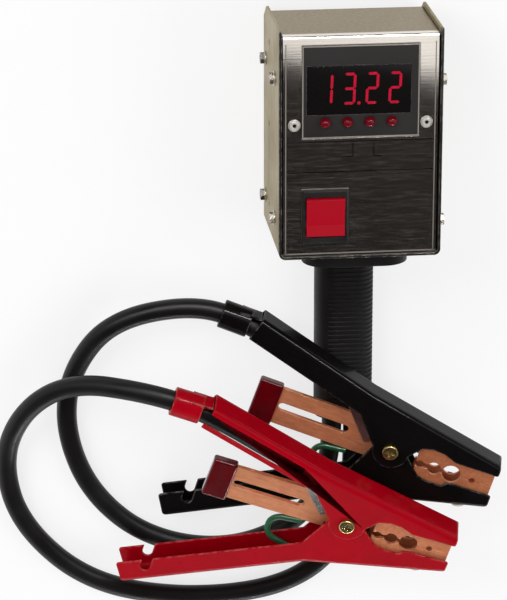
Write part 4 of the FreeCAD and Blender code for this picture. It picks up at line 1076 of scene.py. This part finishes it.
@dataclass
class Clamp:
    """One spring clamp: softened levers and the pieces that flex between them."""

    colour: str
    pivot: Point
    lie: Point
    lower: Body
    weld: float = 0.000004
    flat_angle: float = math.radians(0.6)
    dip: float = 0.0007
    dip_segments: int = 3
    dip_angle: float = math.radians(40.0)
    lever_smooth: float = math.radians(50.0)
    flex_smooth: float = math.radians(40.0)
    flex_start: Point = (-0.02, -0.012, 0.0)
    flex_end: Point = (-0.02, -0.036, 0.0)
    lower_knee: Point = (-0.017, -0.041, 0.0)
    lower_end: Point = (-0.125, -0.097, 0.0)
    rib_size: Point = (0.0024, 0.0098, 0.0006)
    rib_sink: Point = (0.0, 0.0, -0.0001)
    rib_corner: float = 0.0006
    rib_crown: float = 0.45
    rib_pitch: float = 0.0066
    rib_start: float = 0.016
    rib_count: int = 13
    rib_slant: float = math.radians(32.0)

    def build(self, nodes: Nodes, finishes: Materials) -> list[Piece]:
        """Model what the clamp adds to its nodes.

        Args:
            nodes: the frame's nodes.
            finishes: the built finishes by name.

        Returns:
            Every piece and node that hangs on the clamp's lead.
        """
        enamel = finishes[f"{self.colour}_enamel"]
        pieces = [
            self.build_lever(nodes, "upper_lever", Body.TESTER, enamel),
            self.build_lever(nodes, "lower_lever", self.lower, enamel),
            self.build_ribs(enamel),
        ]
        for name in FLEXIBLE:
            slot = CLAMP_FINISHES[name]
            pieces.append(self.build_flexible(nodes, name, finishes[slot], slot))
        pieces += [nodes[self.node(name)] for name in CLAMP_FINISHES if name not in FLEXIBLE]
        return pieces

    def node(self, name: str) -> str:
        """Give the full name of one of this clamp's nodes."""
        return f"{self.colour}_clamp_{name}"

    def copy(self, nodes: Nodes, name: str, finish: Material, slot: str) -> Piece:
        """Copy a node with its loose faces merged, and let the copy stand for it.

        Args:
            nodes: the frame's nodes.
            name: the node's short name.
            finish: the copy's material.
            slot: not used.

        Returns:
            The dressed copy, active and selected.
        """
        source = nodes[self.node(name)]
        piece = link_object(f"{self.colour}_{name}_skin", source.data.copy())
        piece.data.materials.clear()
        piece.data.materials.append(finish)
        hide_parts(self.node(name))
        LOG.info("piece %s stands for %s", piece.name, self.node(name))
        only(piece)
        bpy.ops.object.mode_set(mode="EDIT")
        bpy.ops.mesh.select_all(action="SELECT")
        bpy.ops.mesh.remove_doubles(threshold=self.weld)
        bpy.ops.mesh.dissolve_limited(angle_limit=self.flat_angle)
        bpy.ops.object.mode_set(mode="OBJECT")
        return piece

    def build_lever(self, nodes: Nodes, name: str, body: Body, finish: Material) -> Piece:
        """Round a lever's sheet edges as a thick dip does, and keep its walls flat.

        Args:
            nodes: the frame's nodes.
            name: upper_lever or lower_lever.
            body: the body it moves with.
            finish: the dip.

        Returns:
            The finished lever.
        """
        lever = self.copy(nodes, name, finish, f"{self.colour}_enamel")
        soft = lever.modifiers.new("dip", "BEVEL")
        soft.width = self.dip
        soft.segments = self.dip_segments
        soft.limit_method = "ANGLE"
        soft.angle_limit = self.dip_angle
        soft.use_clamp_overlap = False
        soft.harden_normals = True
        bpy.ops.object.modifier_apply(modifier="dip")
        bpy.ops.object.shade_smooth_by_angle(angle=self.lever_smooth)
        flat = lever.modifiers.new("flat", "WEIGHTED_NORMAL")
        flat.keep_sharp = True
        bpy.ops.object.modifier_apply(modifier="flat")
        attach(lever, body.value)
        return lever

    def build_ribs(self, finish: Material) -> Piece:
        """Raise slanting grip ribs along the back of the lower handle.

        Args:
            finish: the lever's dip.

        Returns:
            The ribs as one piece.
        """
        knee = Vector(self.lower_knee)
        along = (Vector(self.lower_end) - knee).normalized()
        across = Vector((0.0, 0.0, -1.0))
        back = Matrix((along, across, along.cross(across))).transposed().to_4x4()
        lie = Matrix.Translation(Vector(self.pivot)) @ lie_matrix(self.lie)
        place = lie @ Matrix.Translation(knee) @ back
        parts = []
        for step in range(self.rib_count):
            rib = slab("rib", self.rib_sink, self.rib_size, self.rib_corner, self.rib_crown)
            shift = Matrix.Translation((self.rib_start + step * self.rib_pitch, 0.0, 0.0))
            rib.data.transform(place @ shift @ Matrix.Rotation(self.rib_slant, 4, "Z"))
            parts.append(rib)
        name, slot = f"{self.colour}_grip_ribs", f"{self.colour}_enamel"
        return joined(name, parts, finish, self.lower)

    def build_flexible(self, nodes: Nodes, name: str, finish: Material, slot: str) -> Piece:
        """Copy the jumper or the spring, smooth its shading and bake its place into its mesh.

        Args:
            nodes: the frame's nodes.
            name: the node's short name.
            finish: its material.
            slot: not used; passed on to copy, which ignores it.

        Returns:
            The finished piece.
        """
        piece = self.copy(nodes, name, finish, slot)
        bpy.ops.object.shade_smooth_by_angle(angle=self.flex_smooth)
        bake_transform(piece)
        return piece


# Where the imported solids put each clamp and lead.
RED_CLAMP = Clamp("red", (-0.0030, -0.1875, 0.0620), (-17.0, 16.0, 11.0), Body.RED_LOWER)
BLACK_CLAMP = Clamp("black", (0.0274, -0.1470, 0.0444), (-17.5, 5.0, 12.0), Body.BLACK_LOWER)
RED_LEAD = Lead(
    "red",
    (
        (0.007, -0.1365, 0.012), (0.007, -0.1725, 0.012), (0.004, -0.226, 0.007),
        (-0.032, -0.259, 0.007), (-0.098, -0.266, 0.007), (-0.166, -0.252, 0.007),
        (-0.211, -0.208, 0.007), (-0.222, -0.16, 0.009), (-0.207, -0.119, 0.026),
        (-0.176, -0.097, 0.04), (-0.1309, -0.0973, 0.0635), (-0.0951, -0.1098, 0.0668),
        (-0.0709, -0.1257, 0.0668),
    ),
    0.5805,
)
BLACK_LEAD = Lead(
    "black",
    (
        (-0.007, -0.1365, 0.012), (-0.007, -0.1725, 0.012), (-0.026, -0.213, 0.007),
        (-0.074, -0.232, 0.007), (-0.128, -0.221, 0.007), (-0.165, -0.187, 0.007),
        (-0.181, -0.142, 0.007), (-0.176, -0.1, 0.011), (-0.15, -0.062, 0.024),
        (-0.096, -0.0525, 0.0266), (-0.0609, -0.0657, 0.0329), (-0.0375, -0.0824, 0.0364),
    ),
    0.4872,
)

# Turns that lay brushed streaks up the case and along the straps.
UP_THE_CASE = (0.0, 0.0, math.radians(90.0))
ALONG_THE_STRAP = (0.0, 0.0, math.radians(17.0))

# Gloss of the dip on both pairs of levers.
DIP = {
    "scale": 130.0, "swing": 0.05, "bump": 0.2, "coat": 0.18, "coat_roughness": 0.03,
    "specular": 0.04, "edge_radius": 0.0012,
}

TABLE_WHITE = TableFinish(
    "table_white", (253, 253, 253), (250, 250, 250), 0.9, scale=40.0, bump=0.0, specular=0.0
)
CARD_DARK = Finish(
    "card_dark", (46, 43, 42), (40, 38, 37), 0.9, scale=10.0, bump=0.0, specular=0.0
)
FINISHES = (
    WrapFinish(
        "case_steel", (164, 148, 110), (130, 116, 82), 0.48, 0.5, Pattern.BRUSHED, 620.0, 90.0,
        UP_THE_CASE, swing=0.08, bump=0.06, edge_tone=(190, 182, 164),
    ),
    FrontFinish(
        "front_steel", (250, 243, 235), (226, 218, 208), 0.1, 1.0, Pattern.BRUSHED, 950.0, 9.0,
        swing=0.02, bump=0.035, edge_tone=(226, 220, 210), edge_radius=0.0009, smudge_scale=12.0,
    ),
    Finish(
        "plate_charcoal", (38, 33, 32), (30, 26, 25), 0.45, scale=1800.0, bump=0.14,
        specular=0.25, edge_tone=(110, 106, 102),
    ),
    Finish(
        "lens_smoked", (21, 18, 17), (16, 14, 14), 0.12, scale=500.0, swing=0.03, bump=0.0,
        specular=0.2,
    ),
    Finish("module_black", (30, 28, 28), (22, 21, 21), 0.5, scale=1600.0),
    Finish(
        "indicator_dome", (122, 8, 25), (94, 4, 17), 0.14, scale=700.0, swing=0.04, bump=0.02,
        coat=0.1, specular=0.12,
    ),
    Finish("board_green", (36, 84, 52), (26, 66, 40), 0.4, scale=600.0, coat=0.3),
    Finish("standoff_zinc", (176, 174, 168), (150, 148, 142), 0.35, 1.0),
    RivetFinish(
        "rivet_metal", (224, 220, 212), (190, 186, 180), 0.35, 0.55, scale=1400.0,
        edge_tone=(240, 238, 234),
    ),
    ScrewFinish(
        "screw_steel", (206, 202, 192), (172, 168, 158), 0.32, 1.0, scale=1500.0,
        edge_tone=(224, 220, 212),
    ),
    Finish(
        "switch_black", (28, 25, 24), (20, 18, 18), 0.42, scale=2200.0, bump=0.2,
        specular=0.25, edge_tone=(96, 92, 88),
    ),
    Finish(
        "rocker_red", (178, 0, 28), (166, 0, 25), 0.4, scale=1300.0, swing=0.06, bump=0.05,
        specular=0.12, edge_tone=(200, 20, 40),
    ),
    Finish("terminal_brass", (196, 160, 88), (166, 132, 70), 0.35, 1.0),
    Finish("ribbon_steel", (120, 112, 104), (92, 86, 84), 0.4, 1.0, Pattern.BRUSHED, 1200.0),
    Finish("insulator_white", (226, 222, 212), (206, 202, 192), 0.3, coat=0.4),
    Finish("relay_black", (34, 32, 32), (26, 25, 25), 0.5, scale=1500.0),
    Finish("lug_copper", (190, 120, 84), (160, 96, 62), 0.35, 1.0),
    Finish(
        "lead_rubber", (20, 17, 16), (13, 12, 11), 0.4, scale=1100.0, swing=0.1, bump=0.12,
        specular=0.25,
    ),
    Finish(
        "grip_rubber", (23, 20, 19), (15, 13, 12), 0.48, scale=1500.0, bump=0.25,
        specular=0.25, edge_tone=(46, 42, 39), edge_radius=0.0004,
    ),
    Finish(
        "flange_black", (21, 18, 17), (14, 12, 12), 0.45, scale=1800.0, bump=0.2, specular=0.2,
        edge_tone=(46, 42, 40),
    ),
    # Light edge tones of both dips are painted highlights: glints along the levers' bends.
    Finish("red_enamel", (176, 0, 23), (157, 1, 19), 0.3, edge_tone=(232, 128, 118), **DIP),
    Finish("black_enamel", (17, 14, 14), (11, 9, 9), 0.3, edge_tone=(150, 145, 138), **DIP),
    Finish(
        "jaw_copper", (226, 142, 96), (176, 98, 62), 0.42, 0.45, scale=420.0, swing=0.14,
        bump=0.3, edge_tone=(228, 166, 126), edge_radius=0.0005, smudge_scale=90.0,
    ),
    Finish(
        "strap_copper", (240, 162, 114), (186, 108, 74), 0.4, 0.45, Pattern.BRUSHED, 700.0,
        26.0, ALONG_THE_STRAP, bump=0.2, edge_tone=(228, 166, 128),
        edge_radius=0.0005, smudge_scale=70.0,
    ),
    Finish(
        "dipped_sleeve", (98, 4, 12), (78, 2, 8), 0.16, scale=160.0, swing=0.06, bump=0.4,
        coat=0.4, specular=0.25, smudge_scale=120.0,
    ),
    Finish(
        "yellow_zinc", (206, 190, 132), (176, 158, 98), 0.28, 1.0, scale=1200.0,
        edge_tone=(236, 228, 190), edge_radius=0.0003,
    ),
    Finish(
        "rivet_dull", (190, 182, 168), (160, 152, 140), 0.42, 0.9, edge_tone=(216, 212, 204),
    ),
    Finish("spring_steel", (104, 100, 98), (78, 76, 74), 0.35, 1.0),
    Finish(
        "green_insulation", (14, 92, 52), (9, 74, 41), 0.35, scale=700.0, bump=0.06, coat=0.3
    ),
    Finish(
        "crimp_tinned", (206, 204, 200), (170, 168, 164), 0.32, 1.0, scale=700.0, bump=0.3,
        edge_tone=(232, 230, 226),
    ),
    Finish("print_black", (10, 9, 9), (7, 6, 6), 0.6, scale=2000.0, bump=0.05, specular=0.05),
    # Finish of the painted highlights on the front sheet's edge and round the display plate.
    Finish("edge_highlight", (168, 160, 150), (140, 132, 122), 0.35, 0.3, Pattern.BRUSHED, 1500.0),
    LitFinish(
        "lit_segment", (176, 14, 44), (132, 8, 32), 0.4, bump=0.0, specular=0.1, strength=0.5,
    ),
)

# Finish of each node of the case, handle and leads.
NODE_FINISHES = {
    "case_wrap": "case_steel",
    "face_shell": "front_steel",
    "case_screws": "screw_steel",
    "display_plate": "plate_charcoal",
    "display_lens": "lens_smoked",
    "display_module": "module_black",
    "indicator_leds": "indicator_dome",
    "circuit_board": "board_green",
    "board_standoffs": "standoff_zinc",
    "panel_rivets": "rivet_metal",
    "switch_housing": "switch_black",
    "load_rocker": "rocker_red",
    "switch_terminals": "terminal_brass",
    "load_element": "ribbon_steel",
    "load_insulators": "insulator_white",
    "load_relay": "relay_black",
    "lead_lugs": "lug_copper",
    "red_inner_lead": "lead_rubber",
    "black_inner_lead": "lead_rubber",
    "handle_flange": "flange_black",
    "handle_core": "flange_black",
    "handle_grip": "grip_rubber",
    "cable_plug": "flange_black",
    "flange_screws": "standoff_zinc",
    "red_lead": "lead_rubber",
    "black_lead": "lead_rubber",
}

# Finish of each node of a clamp besides its levers, and those of them that bend.
CLAMP_FINISHES = {
    "upper_jaw": "jaw_copper",
    "lower_jaw": "jaw_copper",
    "jaw_rivet": "rivet_dull",
    "pivot_screw": "yellow_zinc",
    "pivot_nut": "yellow_zinc",
    "spring": "spring_steel",
    "shunt_strap": "strap_copper",
    "strap_sleeve": "dipped_sleeve",
    "jumper_wire": "green_insulation",
    "cable_crimp": "crimp_tinned",
    "cable_tail": "lead_rubber",
}
FLEXIBLE = ("jumper_wire", "spring")


def dress_nodes(nodes: Nodes, finishes: Materials) -> None:
    """Give every node of the frame its finish.

    Args:
        nodes: the frame's nodes.
        finishes: the built finishes by name.
    """
    chosen = dict(NODE_FINISHES)
    for clamp in (RED_CLAMP, BLACK_CLAMP):
        chosen.update({clamp.node(name): finish for name, finish in CLAMP_FINISHES.items()})
        for lever in ("upper_lever", "lower_lever"):
            chosen[clamp.node(lever)] = f"{clamp.colour}_enamel"
    for name, node in nodes.items():
        node.data.materials.clear()
        node.data.materials.append(finishes[chosen[name]])
    LOG.info("%d nodes dressed", len(nodes))


def main() -> None:
    """Build the scene in order: studio, leads, clamps, panel."""
    logging.basicConfig(level=logging.INFO)
    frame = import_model()
    nodes = frame["nodes"]
    bpy.ops.object.select_all(action="DESELECT")
    build_groups()
    finishes = {finish.name: finish.build() for finish in FINISHES}
    Studio().build()
    dress_nodes(nodes, finishes)
    for clamp, lead in ((RED_CLAMP, RED_LEAD), (BLACK_CLAMP, BLACK_LEAD)):
        pieces = clamp.build(nodes, finishes)
        lead.build(pieces, finishes["lead_rubber"])
        LOG.info("%s lead laid with %d pieces", lead.colour, len(pieces))
    Readout().build(finishes["lit_segment"])
    lines = PanelLines()
    lines.build_rules(finishes["print_black"])
    lines.build_edges(finishes["edge_highlight"])
    lines.build_plate_highlight(finishes["edge_highlight"])


if __name__ == "__main__":
    main()
